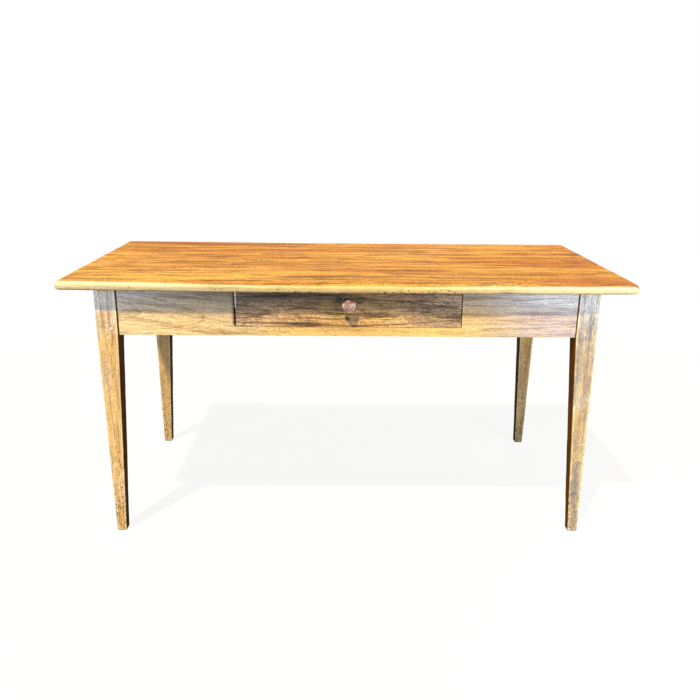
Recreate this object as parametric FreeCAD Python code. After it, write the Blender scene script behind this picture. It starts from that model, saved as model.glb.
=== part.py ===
import FreeCAD, Part
import math
import os
from collections import namedtuple
from FreeCAD import Vector

# Farmhouse dining table with one drawer, in millimetres.
# +X runs along the table, -Y is the drawer side, +Z is up.
# The origin is on the floor under the middle of the top.

# Overall
table_height = 760.0
top_length = 1570.0
top_width = 740.0
top_thickness = 25.0
end_overhang = 95.0
side_overhang = 30.0

# Top boards and the loose tongues that join them
front_board_width = 312.0
back_board_width = 103.0
top_edge_round_share = 0.44
top_corner_extra = 7.0
tongue_width = 16.0
tongue_thickness = 6.0
tongue_end_margin = 60.0
tongue_clearance = 0.2

# Legs: square at the apron, tapered on the two inner faces below it
leg_section = 58.0
foot_section = 28.0
leg_arris = 2.5
foot_chamfer = 3.0

# Aprons and their haunched tenons
apron_height = 130.0
apron_thickness = 22.0
apron_setback = 3.5
apron_arris = 1.5
tenon_thickness = 10.0
tenon_end_gap = 3.0
tenon_lower_shoulder = 6.0
haunch_height = 25.0
haunch_length = 10.0
mortise_clearance = 0.2

# Pegs through the tenons
peg_diameter = 8.0
peg_proud = 0.8
peg_bite = 10.0
peg_to_shoulder = 19.0
peg_to_tenon_edge = 12.0
peg_stagger_share = 1.75
peg_clearance = 0.1

# Buttons that hold the top down, and their screws
button_length = 34.0
button_width = 30.0
button_thickness = 18.0
button_gap = 0.8
button_tongue_length = 8.0
button_tongue_thickness = 8.0
button_slot_play = 1.0
end_button_share = 0.5
screw_diameter = 4.0
screw_head_diameter = 8.0
screw_head_height = 2.2
screw_bite_share = 0.6
screw_slot_width = 1.0
screw_slot_depth = 0.9
screw_clearance = 0.1

# Drawer opening in the front apron
opening_width = 623.0
rail_height = 25.0
drawer_gap_left = 2.8
drawer_gap_right = 1.2
drawer_gap_below = 0.8
drawer_gap_above = 1.5
running_clearance = 0.3

# Drawer box
drawer_back_space = 151.0
drawer_front_thickness = 22.0
drawer_side_thickness = 12.0
drawer_back_thickness = 12.0
drawer_side_relief = 5.0
panel_rise = 10.0
panel_thickness = 8.0
panel_groove_depth = 5.0
panel_clearance = 0.2
front_tail_length = 13.0
front_tail_count = 3
back_tail_count = 2
tail_root_share = 0.57
tail_flare_share = 0.165
dovetail_clearance = 0.15
nail_diameter = 2.4
nail_head_diameter = 5.0
nail_head_thickness = 1.2
nail_length = 26.0
nail_clearance = 0.1
nail_place_shares = (0.06, 0.35, 0.65, 0.94)

# Knob, measured from the drawer front's face
knob_height_share = 0.633
knob_diameter = 38.0
knob_projection = 28.0
knob_base_diameter = 23.0
knob_base_thickness = 2.5
knob_neck_diameter = 17.0
knob_neck_share = 0.3
knob_flare_share = 0.5
knob_rim_share = 0.58
knob_spigot_diameter = 12.0
knob_spigot_recess = 1.0
knob_clearance = 0.1

# Runners, guides and stops of the drawer
runner_ledge = 18.0
runner_height = 20.0
runner_tenon_length = 8.0
runner_tenon_width = 20.0
runner_tenon_height = 10.0
guide_width = 16.0
guide_height = 22.0
stop_length = 25.0
stop_height = 15.0

# How far a cutting shape runs past the face that it opens
overrun = 1.0

# Heights and places that follow from the sizes above
underside = table_height - top_thickness
frame_length = top_length - 2 * end_overhang
frame_width = top_width - 2 * side_overhang
apron_bottom = underside - apron_height
long_shoulder = frame_length / 2 - leg_section
end_shoulder = frame_width / 2 - leg_section
tenon_inset = apron_setback + (apron_thickness - tenon_thickness) / 2
tenon_length = leg_section - tenon_inset - tenon_thickness - tenon_end_gap
tenon_bottom = apron_bottom + tenon_lower_shoulder
tenon_top = underside - haunch_height
peg_length = peg_proud + tenon_inset + tenon_thickness + peg_bite
peg_stagger = peg_stagger_share * peg_diameter
peg_low = tenon_bottom + peg_to_tenon_edge
peg_high = tenon_top - peg_to_tenon_edge
apron_inner_y = frame_width / 2 - apron_setback - apron_thickness
screw_bite = screw_bite_share * top_thickness

opening_half = opening_width / 2
rail_top = apron_bottom + rail_height
drawer_left = -opening_half + drawer_gap_left
drawer_right = opening_half - drawer_gap_right
drawer_face = -frame_width / 2 + apron_setback
front_inner = drawer_face + drawer_front_thickness
drawer_rear = apron_inner_y - drawer_back_space
back_inner = drawer_rear - drawer_back_thickness
front_bottom = rail_top + drawer_gap_below
front_top = underside - drawer_gap_above
side_bottom = rail_top + running_clearance
side_top = underside - drawer_side_relief
panel_bottom = side_bottom + panel_rise
panel_top = panel_bottom + panel_thickness
long_button_place = (opening_half + long_shoulder) / 2
end_button_place = end_button_share * end_shoulder

up = Vector(0, 0, 1)
inward = Vector(0, -1, 0)
outward_front = Vector(0, -1, 0)
centre = Vector(0, 0, 0)

# One side of the underframe, described as if it were the back and then turned about +Z
Side = namedtuple("Side", "name angle shoulder leg_face peg_heights button_places")
staggered_heights = (peg_low + peg_stagger, peg_high - peg_stagger)
sides = (
    Side("back", 0, long_shoulder, frame_width / 2, (peg_low, peg_high),
         (-long_button_place, 0, long_button_place)),
    Side("front", 180, long_shoulder, frame_width / 2, (peg_low, peg_high),
         (-long_button_place, long_button_place)),
    Side("left", 90, end_shoulder, frame_length / 2, staggered_heights,
         (-end_button_place, end_button_place)),
    Side("right", -90, end_shoulder, frame_length / 2, staggered_heights,
         (-end_button_place, end_button_place)),
)


def block(x_limits, y_limits, z_limits):
    """Box between three pairs of limits, given in either order."""
    low = Vector(min(x_limits), min(y_limits), min(z_limits))
    high = Vector(max(x_limits), max(y_limits), max(z_limits))
    return Part.makeBox(high.x - low.x, high.y - low.y, high.z - low.z, low)


def grown(limits, amount):
    """A pair of limits moved apart by an amount at each end."""
    return (min(limits) - amount, max(limits) + amount)


def rod(radius, start, direction, length):
    """Round bar from a start point."""
    return Part.makeCylinder(radius, length, start, direction)


def turned(shape, angle):
    """Copy of a shape turned about the table's upright axis."""
    copy = shape.copy()
    copy.rotate(centre, up, angle)
    return copy


def rounded_outline(x_limits, y_limits, z, radius):
    """Closed outline of a rectangle with round corners, level at height z."""
    x0, x1 = min(x_limits), max(x_limits)
    y0, y1 = min(y_limits), max(y_limits)
    lean = radius * (1 - 0.5 ** 0.5)
    corners = (
        (Vector(x1 - radius, y0, z), Vector(x1 - lean, y0 + lean, z), Vector(x1, y0 + radius, z)),
        (Vector(x1, y1 - radius, z), Vector(x1 - lean, y1 - lean, z), Vector(x1 - radius, y1, z)),
        (Vector(x0 + radius, y1, z), Vector(x0 + lean, y1 - lean, z), Vector(x0, y1 - radius, z)),
        (Vector(x0, y0 + radius, z), Vector(x0 + lean, y0 + lean, z), Vector(x0 + radius, y0, z)),
    )
    edges = []
    for index, (start, middle, end) in enumerate(corners):
        edges.append(Part.Arc(start, middle, end).toShape())
        following = corners[(index + 1) % len(corners)][0]
        edges.append(Part.LineSegment(end, following).toShape())
    return Part.Wire(edges)


def top_slab():
    """Whole top with round plan corners and a bullnose edge, before it is parted into boards."""
    edge_round = top_edge_round_share * top_thickness
    slab = block((-top_length / 2, top_length / 2), (-top_width / 2, top_width / 2), (underside, table_height))
    upright = [edge for edge in slab.Edges if edge.BoundBox.ZLength > top_thickness / 2]
    slab = slab.makeFillet(edge_round + top_corner_extra, upright)
    level = [edge for edge in slab.Edges if edge.BoundBox.ZLength < top_thickness / 2]
    return slab.makeFillet(edge_round, level)


def tongue(joint_y, clearance):
    """Loose tongue across the joint between two boards, or with a clearance the groove for it."""
    half_length = top_length / 2 - tongue_end_margin + clearance
    half_width = tongue_width / 2 + clearance
    half_thickness = tongue_thickness / 2 + clearance
    middle = underside + top_thickness / 2
    return block(
        (-half_length, half_length),
        (joint_y - half_width, joint_y + half_width),
        (middle - half_thickness, middle + half_thickness),
    )


def leg_blank(x_sign, y_sign):
    """Leg before its mortises: upright outer faces, inner faces tapering to the foot."""
    outer_x = x_sign * frame_length / 2
    outer_y = y_sign * frame_width / 2

    def outline(section, z, inset):
        x_limits = (outer_x - x_sign * inset, outer_x - x_sign * (section - inset))
        y_limits = (outer_y - y_sign * inset, outer_y - y_sign * (section - inset))
        return rounded_outline(x_limits, y_limits, z, leg_arris)

    sections = [
        outline(foot_section, 0, foot_chamfer),
        outline(foot_section, foot_chamfer, 0),
        outline(leg_section, apron_bottom, 0),
        outline(leg_section, underside, 0),
    ]
    return Part.makeLoft(sections, True, True)


def tenons(side, clearance):
    """Haunched tenons at both ends of an apron, or with a clearance the mortises for them."""
    cheeks = grown((side.leg_face - tenon_inset - tenon_thickness, side.leg_face - tenon_inset), clearance)
    shapes = []
    for end in (-1, 1):
        root = end * (side.shoulder - clearance)
        tip = end * (side.shoulder + tenon_length + clearance)
        haunch_tip = end * (side.shoulder + haunch_length + clearance)
        shapes.append(block((root, tip), cheeks, grown((tenon_bottom, tenon_top), clearance)))
        shapes.append(block((root, haunch_tip), cheeks, (tenon_top, underside + clearance)))
    return shapes


def peg_spots(side):
    """Middle of each peg's hole on the outer face of the legs."""
    reach = side.shoulder + peg_to_shoulder
    return [Vector(x, side.leg_face, z) for x in (-reach, reach) for z in side.peg_heights]


def peg(spot):
    """Riven peg with a chamfered head that stands a little proud of the leg."""
    radius = peg_diameter / 2
    shank = rod(radius, spot, inward, peg_length - peg_proud)
    head = Part.makeCone(radius, radius - peg_proud, peg_proud, spot, -inward)
    return shank.fuse(head).removeSplitter()


def peg_hole(spot):
    """Hole for a peg, through the leg's wall and the tenon."""
    start = spot - inward * overrun
    return rod(peg_diameter / 2 + peg_clearance, start, inward, overrun + peg_length - peg_proud + peg_clearance)


def button(side, place):
    """Button whose tongue hooks under the top wall of a slot in the apron."""
    inner_face = side.leg_face - apron_setback - apron_thickness
    near = inner_face - button_gap
    width = (place - button_width / 2, place + button_width / 2)
    lower = underside - button_thickness
    body = block(width, (near - button_length, near), (lower, underside))
    tongue_y = (near, inner_face + button_tongue_length)
    hook = block(width, tongue_y, (lower, lower + button_tongue_thickness))
    return body.fuse(hook).removeSplitter()


def button_slot(side, place):
    """Slot in the apron's inner face for a button's tongue."""
    inner_face = side.leg_face - apron_setback - apron_thickness
    lower = underside - button_thickness
    return block(
        grown((place - button_width / 2, place + button_width / 2), button_slot_play),
        (inner_face - overrun, inner_face + button_tongue_length + button_slot_play),
        (lower - button_slot_play, lower + button_tongue_thickness),
    )


def screw(side, place, clearance):
    """Countersunk screw up through a button into the top, or with a clearance its hole."""
    inner_face = side.leg_face - apron_setback - apron_thickness
    start = Vector(place, inner_face - button_gap - button_length / 2, underside - button_thickness)
    radius = screw_diameter / 2 + clearance
    shank = rod(radius, start, up, button_thickness + screw_bite + clearance)
    head = Part.makeCone(screw_head_diameter / 2 + clearance, radius, screw_head_height + clearance, start, up)
    return shank.fuse(head).removeSplitter()


def slotted_screw(side, place):
    """Screw with a plain driver slot across its head."""
    shape = screw(side, place, 0)
    inner_face = side.leg_face - apron_setback - apron_thickness
    across = inner_face - button_gap - button_length / 2
    lower = underside - button_thickness
    slot = block(
        (place - screw_slot_width / 2, place + screw_slot_width / 2),
        (across - screw_head_diameter, across + screw_head_diameter),
        (lower - overrun, lower + screw_slot_depth),
    )
    return shape.cut(slot)


def apron(side):
    """Apron board with eased lower edges, tenons, peg holes and button slots."""
    outer = side.leg_face - apron_setback
    board = block((-side.shoulder, side.shoulder), (outer - apron_thickness, outer), (apron_bottom, underside))
    lower_edges = [
        edge for edge in board.Edges
        if edge.BoundBox.ZMax < apron_bottom + apron_arris and edge.BoundBox.XLength > side.shoulder
    ]
    board = board.makeFillet(apron_arris, lower_edges)
    board = board.fuse(tenons(side, 0)).removeSplitter()
    cuts = [peg_hole(spot) for spot in peg_spots(side)]
    cuts += [button_slot(side, place) for place in side.button_places]
    return turned(board.cut(cuts), side.angle)


def runner_x(hand):
    """X limits of a runner: the ledge under the drawer's side and the seat of the guide."""
    return (hand * (opening_half - runner_ledge), hand * (opening_half + guide_width))


def runner_tenons(hand, clearance):
    """Stub tenons at both ends of a runner, or with a clearance the mortises for them."""
    x_limits = runner_x(hand)
    middle_x = (x_limits[0] + x_limits[1]) / 2
    middle_z = rail_top - runner_height / 2
    width = grown((middle_x - runner_tenon_width / 2, middle_x + runner_tenon_width / 2), clearance)
    height = grown((middle_z - runner_tenon_height / 2, middle_z + runner_tenon_height / 2), clearance)
    shapes = []
    for end in (-1, 1):
        root = end * (apron_inner_y - clearance)
        tip = end * (apron_inner_y + runner_tenon_length + clearance)
        shapes.append(block(width, (root, tip), height))
    return shapes


def runner(hand):
    """Rail that carries one side of the drawer, tenoned into the front and back aprons."""
    bar = block(runner_x(hand), (-apron_inner_y, apron_inner_y), (rail_top - runner_height, rail_top))
    return bar.fuse(runner_tenons(hand, 0)).removeSplitter()


def guide(hand):
    """Strip on a runner that keeps the drawer straight."""
    x_limits = (hand * opening_half, hand * (opening_half + guide_width))
    return block(x_limits, (-apron_inner_y, apron_inner_y), (rail_top, rail_top + guide_height))


def stop(hand):
    """Block on a runner's ledge that the closed drawer meets."""
    x_limits = (hand * (opening_half - runner_ledge), hand * opening_half)
    start = drawer_rear + running_clearance
    return block(x_limits, (start, start + stop_length), (rail_top, rail_top + stop_height))


def tails(x_limits, root, tip, z_limits, count, clearance):
    """Row of dovetails from a root to a tip along Y, or with a clearance the sockets for them."""
    pitch = (max(z_limits) - min(z_limits)) / count
    direction = 1 if tip > root else -1
    root_half = tail_root_share * pitch / 2 + clearance
    tip_half = root_half + tail_flare_share * abs(tip - root)
    tip_end = tip + direction * clearance
    width = Vector(max(x_limits) - min(x_limits), 0, 0)
    shapes = []
    for index in range(count):
        middle = min(z_limits) + (index + 0.5) * pitch
        x = min(x_limits)
        points = [
            Vector(x, root, middle - root_half),
            Vector(x, tip_end, middle - tip_half),
            Vector(x, tip_end, middle + tip_half),
            Vector(x, root, middle + root_half),
            Vector(x, root, middle - root_half),
        ]
        shapes.append(Part.Face(Part.makePolygon(points)).extrude(width))
    return shapes


def front_tails(x_limits, clearance):
    """Lapped dovetails between a drawer side and the drawer front."""
    tip = front_inner - front_tail_length
    return tails(x_limits, front_inner, tip, (side_bottom, side_top), front_tail_count, clearance)


def back_tails(x_limits, clearance):
    """Through dovetails between a drawer side and the drawer back."""
    return tails(x_limits, back_inner, drawer_rear, (panel_top, side_top), back_tail_count, clearance)


def side_x(hand):
    """X limits of a drawer side: outer face first."""
    outer = drawer_right if hand > 0 else drawer_left
    return (outer, outer - hand * drawer_side_thickness)


def panel(clearance):
    """Bottom of the drawer, or with a clearance the groove that it slides in."""
    left = side_x(-1)[1] - panel_groove_depth
    right = side_x(1)[1] + panel_groove_depth
    x_limits = grown((left, right), clearance)
    y_limits = (front_inner - panel_groove_depth - clearance, drawer_rear + clearance)
    return block(x_limits, y_limits, grown((panel_bottom, panel_top), clearance))


def drawer_nails():
    """Places of the nails that hold the bottom to the drawer back."""
    y = drawer_rear - drawer_back_thickness / 2
    span = drawer_right - drawer_left
    return [Vector(drawer_left + share * span, y, panel_bottom) for share in nail_place_shares]


def nail(place):
    """Nail with a flat head under the drawer's bottom."""
    shank = rod(nail_diameter / 2, place, up, nail_length)
    head = rod(nail_head_diameter / 2, place, -up, nail_head_thickness)
    return shank.fuse(head).removeSplitter()


def nail_holes():
    """Holes for the nails in the bottom and the back."""
    return [rod(nail_diameter / 2 + nail_clearance, place, up, nail_length + nail_clearance)
            for place in drawer_nails()]


def knob_axis_point():
    """Where the knob's axis meets the face of the drawer front."""
    height = front_bottom + knob_height_share * (front_top - front_bottom)
    return Vector((drawer_left + drawer_right) / 2, drawer_face, height)


def drawer_front():
    """Front board with sockets for the sides, a groove for the bottom and the knob's hole."""
    board = block((drawer_left, drawer_right), (drawer_face, front_inner), (front_bottom, front_top))
    cuts = front_tails(side_x(-1), dovetail_clearance) + front_tails(side_x(1), dovetail_clearance)
    hole_start = knob_axis_point() + outward_front * overrun
    hole_radius = knob_spigot_diameter / 2 + knob_clearance
    cuts.append(rod(hole_radius, hole_start, -outward_front, drawer_front_thickness + 2 * overrun))
    cuts.append(panel(panel_clearance))
    return board.cut(cuts)


def drawer_side(hand):
    """Side board with its tails and the groove for the bottom."""
    x_limits = side_x(hand)
    board = block(x_limits, (front_inner, back_inner), (side_bottom, side_top))
    heel = block(x_limits, (back_inner, drawer_rear), (side_bottom, panel_top))
    joints = front_tails(x_limits, 0) + back_tails(x_limits, 0)
    whole = board.fuse([heel] + joints).removeSplitter()
    return whole.cut(panel(panel_clearance))


def drawer_back():
    """Back board, standing on the bottom, with sockets for the sides."""
    board = block((drawer_left, drawer_right), (back_inner, drawer_rear), (panel_top, side_top))
    cuts = back_tails(side_x(-1), dovetail_clearance) + back_tails(side_x(1), dovetail_clearance)
    return board.cut(cuts + nail_holes())


def knob():
    """Turned knob with a base, a neck, a domed head and a spigot through the drawer front."""
    base_radius = knob_base_diameter / 2
    head_radius = knob_diameter / 2
    spigot_radius = knob_spigot_diameter / 2
    rim = knob_rim_share * knob_projection
    dome_rise = knob_projection - rim
    dome_radius = (head_radius ** 2 + dome_rise ** 2) / (2 * dome_rise)
    half_angle = math.asin(head_radius / dome_radius) / 2
    dome_drop = dome_radius * (1 - math.cos(half_angle))
    origin = knob_axis_point()

    def point(radius, out):
        return origin + Vector(radius, 0, 0) + outward_front * out

    tail = knob_spigot_recess - drawer_front_thickness
    base_edge = point(base_radius, knob_base_thickness)
    neck = point(knob_neck_diameter / 2, knob_neck_share * knob_projection)
    flare = point(head_radius, knob_flare_share * knob_projection)
    rim_edge = point(head_radius, rim)
    dome = point(dome_radius * math.sin(half_angle), knob_projection - dome_drop)
    crown = point(0, knob_projection)
    straight = [crown, point(0, tail), point(spigot_radius, tail), point(spigot_radius, 0),
                point(base_radius, 0), base_edge]
    edges = [Part.LineSegment(start, end).toShape() for start, end in zip(straight, straight[1:])]
    edges.append(Part.Arc(base_edge, neck, flare).toShape())
    edges.append(Part.LineSegment(flare, rim_edge).toShape())
    edges.append(Part.Arc(rim_edge, dome, crown).toShape())
    return Part.Face(Part.Wire(edges)).revolve(origin, outward_front, 360)


def top_nodes():
    """Boards of the top and the tongues between them."""
    front_joint = -top_width / 2 + front_board_width
    back_joint = top_width / 2 - back_board_width
    joints = (front_joint, back_joint)
    beyond = (-top_width / 2 - overrun, top_width / 2 + overrun)
    bands = {
        "top_board_front": (beyond[0], front_joint),
        "top_board_middle": joints,
        "top_board_back": (back_joint, beyond[1]),
    }
    holes = [turned(screw(side, place, screw_clearance), side.angle)
             for side in sides for place in side.button_places]
    cuts = holes + [tongue(joint, tongue_clearance) for joint in joints]
    slab = top_slab()
    full_length = grown((-top_length / 2, top_length / 2), overrun)
    full_height = grown((underside, table_height), overrun)
    nodes = {name: slab.common(block(full_length, band, full_height)).cut(cuts) for name, band in bands.items()}
    nodes["top_joint_tongues"] = Part.makeCompound([tongue(joint, 0).cut(holes) for joint in joints])
    return nodes


def underframe_nodes():
    """Legs, aprons, pegs and the buttons with their screws."""
    cuts = []
    nodes = {}
    buttons = []
    screws = []
    for side in sides:
        cuts += [turned(shape, side.angle) for shape in tenons(side, mortise_clearance)]
        cuts += [turned(peg_hole(spot), side.angle) for spot in peg_spots(side)]
        nodes["apron_" + side.name] = apron(side)
        pegs = [turned(peg(spot), side.angle) for spot in peg_spots(side)]
        nodes["joint_pegs_" + side.name] = Part.makeCompound(pegs)
        for place in side.button_places:
            plain_button = button(side, place).cut(screw(side, place, screw_clearance))
            buttons.append(turned(plain_button, side.angle))
            screws.append(turned(slotted_screw(side, place), side.angle))
    for y_name, y_sign in (("front", -1), ("back", 1)):
        for x_name, x_sign in (("left", -1), ("right", 1)):
            nodes["leg_" + y_name + "_" + x_name] = leg_blank(x_sign, y_sign).cut(cuts)
    runner_mortises = runner_tenons(-1, mortise_clearance) + runner_tenons(1, mortise_clearance)
    notch_y = (-frame_width / 2, -apron_inner_y + overrun)
    notch = block((-opening_half, opening_half), notch_y, (rail_top, underside + overrun))
    nodes["apron_front"] = nodes["apron_front"].cut([notch] + runner_mortises)
    nodes["apron_back"] = nodes["apron_back"].cut(runner_mortises)
    nodes["top_buttons"] = Part.makeCompound(buttons)
    nodes["button_screws"] = Part.makeCompound(screws)
    return nodes


def drawer_nodes():
    """Drawer with its knob, and the runners, guides and stops that it works on."""
    nodes = {
        "drawer_front": drawer_front(),
        "drawer_back": drawer_back(),
        "drawer_bottom": panel(0).cut(nail_holes()),
        "drawer_bottom_nails": Part.makeCompound([nail(place) for place in drawer_nails()]),
        "drawer_knob": knob(),
    }
    for name, hand in (("left", -1), ("right", 1)):
        nodes["drawer_side_" + name] = drawer_side(hand)
        nodes["drawer_runner_" + name] = runner(hand)
        nodes["drawer_guide_" + name] = guide(hand)
        nodes["drawer_stop_" + name] = stop(hand)
    return nodes


def main():
    """Write one file for each piece, or group of like fastenings."""
    os.makedirs("parts", exist_ok=True)
    nodes = {**top_nodes(), **underframe_nodes(), **drawer_nodes()}
    for name, shape in nodes.items():
        shape.exportStep("parts/" + name + ".step")
        print(name, len(shape.Solids), "solid(s)", round(shape.Volume), "mm3", shape.isValid())


main()
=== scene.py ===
"""Looks of a farmhouse dining table with one drawer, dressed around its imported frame.

Lengths are in metres. +X runs along the table, -Y is the drawer side and +Z is up.
"""
import logging
import math
from dataclasses import dataclass, field, replace
from enum import Enum
from itertools import product
from typing import Any, Callable, Mapping, Optional, Sequence, Union

import bmesh
import bpy
from mathutils import Matrix, Vector, kdtree, noise


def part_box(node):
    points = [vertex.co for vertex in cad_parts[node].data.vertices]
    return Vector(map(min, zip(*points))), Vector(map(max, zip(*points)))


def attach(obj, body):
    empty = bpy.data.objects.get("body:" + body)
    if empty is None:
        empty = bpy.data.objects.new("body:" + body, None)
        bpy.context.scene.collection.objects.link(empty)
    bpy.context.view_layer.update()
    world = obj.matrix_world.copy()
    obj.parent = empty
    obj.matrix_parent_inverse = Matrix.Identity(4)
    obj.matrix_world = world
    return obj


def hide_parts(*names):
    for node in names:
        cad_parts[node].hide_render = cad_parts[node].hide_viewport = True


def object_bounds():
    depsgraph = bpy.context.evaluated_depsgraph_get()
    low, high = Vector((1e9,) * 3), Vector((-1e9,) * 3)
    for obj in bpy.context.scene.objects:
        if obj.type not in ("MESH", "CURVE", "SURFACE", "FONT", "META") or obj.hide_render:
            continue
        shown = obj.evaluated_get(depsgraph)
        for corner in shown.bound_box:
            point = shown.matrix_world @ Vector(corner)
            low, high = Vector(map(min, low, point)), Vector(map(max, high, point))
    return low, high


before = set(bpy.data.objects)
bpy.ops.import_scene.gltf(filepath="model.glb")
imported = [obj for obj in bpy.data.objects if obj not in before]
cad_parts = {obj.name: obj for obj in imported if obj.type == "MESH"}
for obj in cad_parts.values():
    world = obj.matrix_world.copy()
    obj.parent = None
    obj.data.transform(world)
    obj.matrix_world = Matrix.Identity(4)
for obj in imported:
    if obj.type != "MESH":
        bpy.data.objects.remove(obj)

log = logging.getLogger("table")
cad_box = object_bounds()

SOFT_EDGE_ANGLE = math.radians(38)
ARRIS_REACH = 0.011
SEED_SHIFTS = (1.0, 2.7, -1.3)
PATCH_WAVES = (0.03, 0.012, 0.012)
PATCH_RIM = 1.25
PATCH_WOBBLE = 0.45
PATCH_SOFTNESS = 0.9
WHITE = (1.0, 1.0, 1.0)

# Parts of a normal between which a face counts as turned to a side.
TURNED = (0.4, 0.9)
TURNED_AWAY = (0.5, 0.9)
TURNED_FRONT = (0.2, 0.7)
TURNED_UNDER = (0.3, 0.9)

Colour = tuple[float, float, float]
Waves = tuple[float, float, float]
Span = tuple[float, float]
Socket = bpy.types.NodeSocket
Material = bpy.types.Material
Piece = bpy.types.Object
Shape = bmesh.types.BMesh
Feed = Union[Socket, float, Sequence[float]]
Feeds = Mapping[Union[str, int], Feed]


class Axis(Enum):
    """Axis of the table."""

    X = 0
    Y = 1
    Z = 2


class Body(Enum):
    """Body of the frame that a piece moves with."""

    TABLE = "table"
    DRAWER = "drawer"


class Slot(Enum):
    """Name of a material slot."""

    TOP = "top_wood"
    FRAME = "frame_wood"
    DRAWER_FRONT = "drawer_front_wood"
    KNOB = "knob_wood"
    PEG = "peg_wood"
    INNER = "inner_wood"
    IRON = "iron_fastenings"


class Mark(Enum):
    """What a finish reads at each point of a piece."""

    GRAIN = "grain"
    ARRIS = "arris"
    # Painted shade: darkening where shade falls, on inner faces, under the overhang, under the bullnose and
    # in recesses.
    SHELTER = "shelter"
    STAIN = "stain"
    FADING = "fading"
    # Painted sheen that pales faces in the overhang's shade, and a yellow tint on the top's face.
    BLOOM = "bloom"
    CHIPS = "chips"


Marks = Mapping[Mark, float]


def paint(red: int, green: int, blue: int) -> Colour:
    """Linear colour of an sRGB one.

    Args:
        red: red from 0 to 255.
        green: green from 0 to 255.
        blue: blue from 0 to 255.

    Returns:
        The colour as the shaders take it.
    """
    shares = (level / 255 for level in (red, green, blue))
    return tuple(share / 12.92 if share <= 0.04045 else ((share + 0.055) / 1.055) ** 2.4 for share in shares)


def ease(value: float, low: float, high: float) -> float:
    """Smooth step of a value from 0 at low to 1 at high.

    Args:
        value: what is eased.
        low: where the step starts.
        high: where the step ends.

    Returns:
        A number from 0 to 1.
    """
    share = within((value - low) / (high - low), 0.0, 1.0)
    return share * share * (3 - 2 * share)


def ripple(place: Vector, waves: Sequence[float], seed: float) -> float:
    """Smooth noise with its own wavelength along each axis.

    Args:
        place: where the noise is read.
        waves: wavelength along X, Y and Z.
        seed: shift that gives each piece its own noise.

    Returns:
        A number from about -1 to 1.
    """
    return noise.noise(Vector(
        part / wave + shift * seed for part, wave, shift in zip(place, waves, SEED_SHIFTS)))


def within(value: float, low: float, high: float) -> float:
    """The value, or the nearer limit where it lies outside."""
    return min(high, max(low, value))


def spaced(stops: Sequence[float], step: float) -> list[float]:
    """Lines through all the stops, with more between them.

    Args:
        stops: places that get a line, in rising order.
        step: widest gap between two lines.

    Returns:
        The places of the lines, in rising order.
    """
    lines = [stops[0]]
    for start, end in zip(stops, stops[1:]):
        count = max(1, math.ceil((end - start) / step - 1e-6))
        lines += [start + (end - start) * (i + 1) / count for i in range(count)]
    return lines


@dataclass(frozen=True)
class Spot:
    """Place on a face, along and across the grain, with its reach each way."""

    along: float
    across: float
    length: float
    width: float

    def distance(self, along: float, across: float) -> float:
        """Distance of a place from the middle, in reaches."""
        return math.hypot((along - self.along) / self.length, (across - self.across) / self.width)


@dataclass(frozen=True)
class Figure(Spot):
    """Swirl in the grain, where the growth rings rise to a knot or a bend.

    Attributes:
        rise: how far the rings are lifted in the middle.
    """

    rise: float

    def lift(self, along: float, across: float) -> float:
        """How far the rings are lifted at a place."""
        return self.rise * math.exp(-self.distance(along, across) ** 2)


@dataclass(frozen=True)
class Patch(Spot):
    """Mark on a face, soft at its rim.

    Attributes:
        depth: strength from 0 to 1.
    """

    depth: float

    def at(self, along: float, across: float, wobble: float) -> float:
        """Strength at a place.

        Args:
            along: place along the grain.
            across: place across the grain.
            wobble: noise that makes the rim uneven.

        Returns:
            Strength from 0 to the patch's depth.
        """
        inward = PATCH_RIM - self.distance(along, across)
        return self.depth * ease(inward + PATCH_WOBBLE * wobble, 0.0, PATCH_SOFTNESS)


@dataclass(frozen=True)
class Cut:
    """How a piece was cut from its log.

    Attributes:
        axes: axes of the table along the grain, across the piece and through it.
        heart: how far the piece's middle lies from the log's heart, across and through.
        start: shift along the log, so that no two pieces show the same stretch.
        figures: swirls in the grain.
        slope: how far the rings rise for each metre along.
        lean: how far the heart strays across for each metre along.
        stray: stretch along the grain over which the rings rise and the heart strays.
    """

    axes: tuple[Axis, Axis, Axis]
    heart: Span
    start: float = 0.0
    figures: tuple[Figure, ...] = ()
    slope: float = 0.02
    lean: float = 0.0
    stray: Span = (-1.0, 1.0)

    def place_in_log(self, point: Vector, middle: Vector) -> Vector:
        """Place in the log of a point of the piece.

        Args:
            point: place on the table.
            middle: middle of the piece.

        Returns:
            Along the grain, and across and through from the heart.
        """
        along, across, through = (point[axis.value] for axis in self.axes)
        strayed = within(along, *self.stray)
        lift = self.slope * strayed + sum(figure.lift(along, across) for figure in self.figures)
        return Vector((
            along + self.start,
            across - middle[self.axes[1].value] + self.heart[0] + self.lean * strayed,
            through - middle[self.axes[2].value] + self.heart[1] + lift,
        ))


def patch_strength(patches: Sequence[Patch], cut: Cut, place: Vector) -> float:
    """Strength of the strongest of some patches.

    Args:
        patches: the patches on a piece.
        cut: how the piece was cut from its log.
        place: where the strength is read.

    Returns:
        Strength from 0 to 1.
    """
    along, across = place[cut.axes[0].value], place[cut.axes[1].value]
    wobble = ripple(place, PATCH_WAVES, cut.start)
    return max((patch.at(along, across, wobble) for patch in patches), default=0.0)


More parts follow.
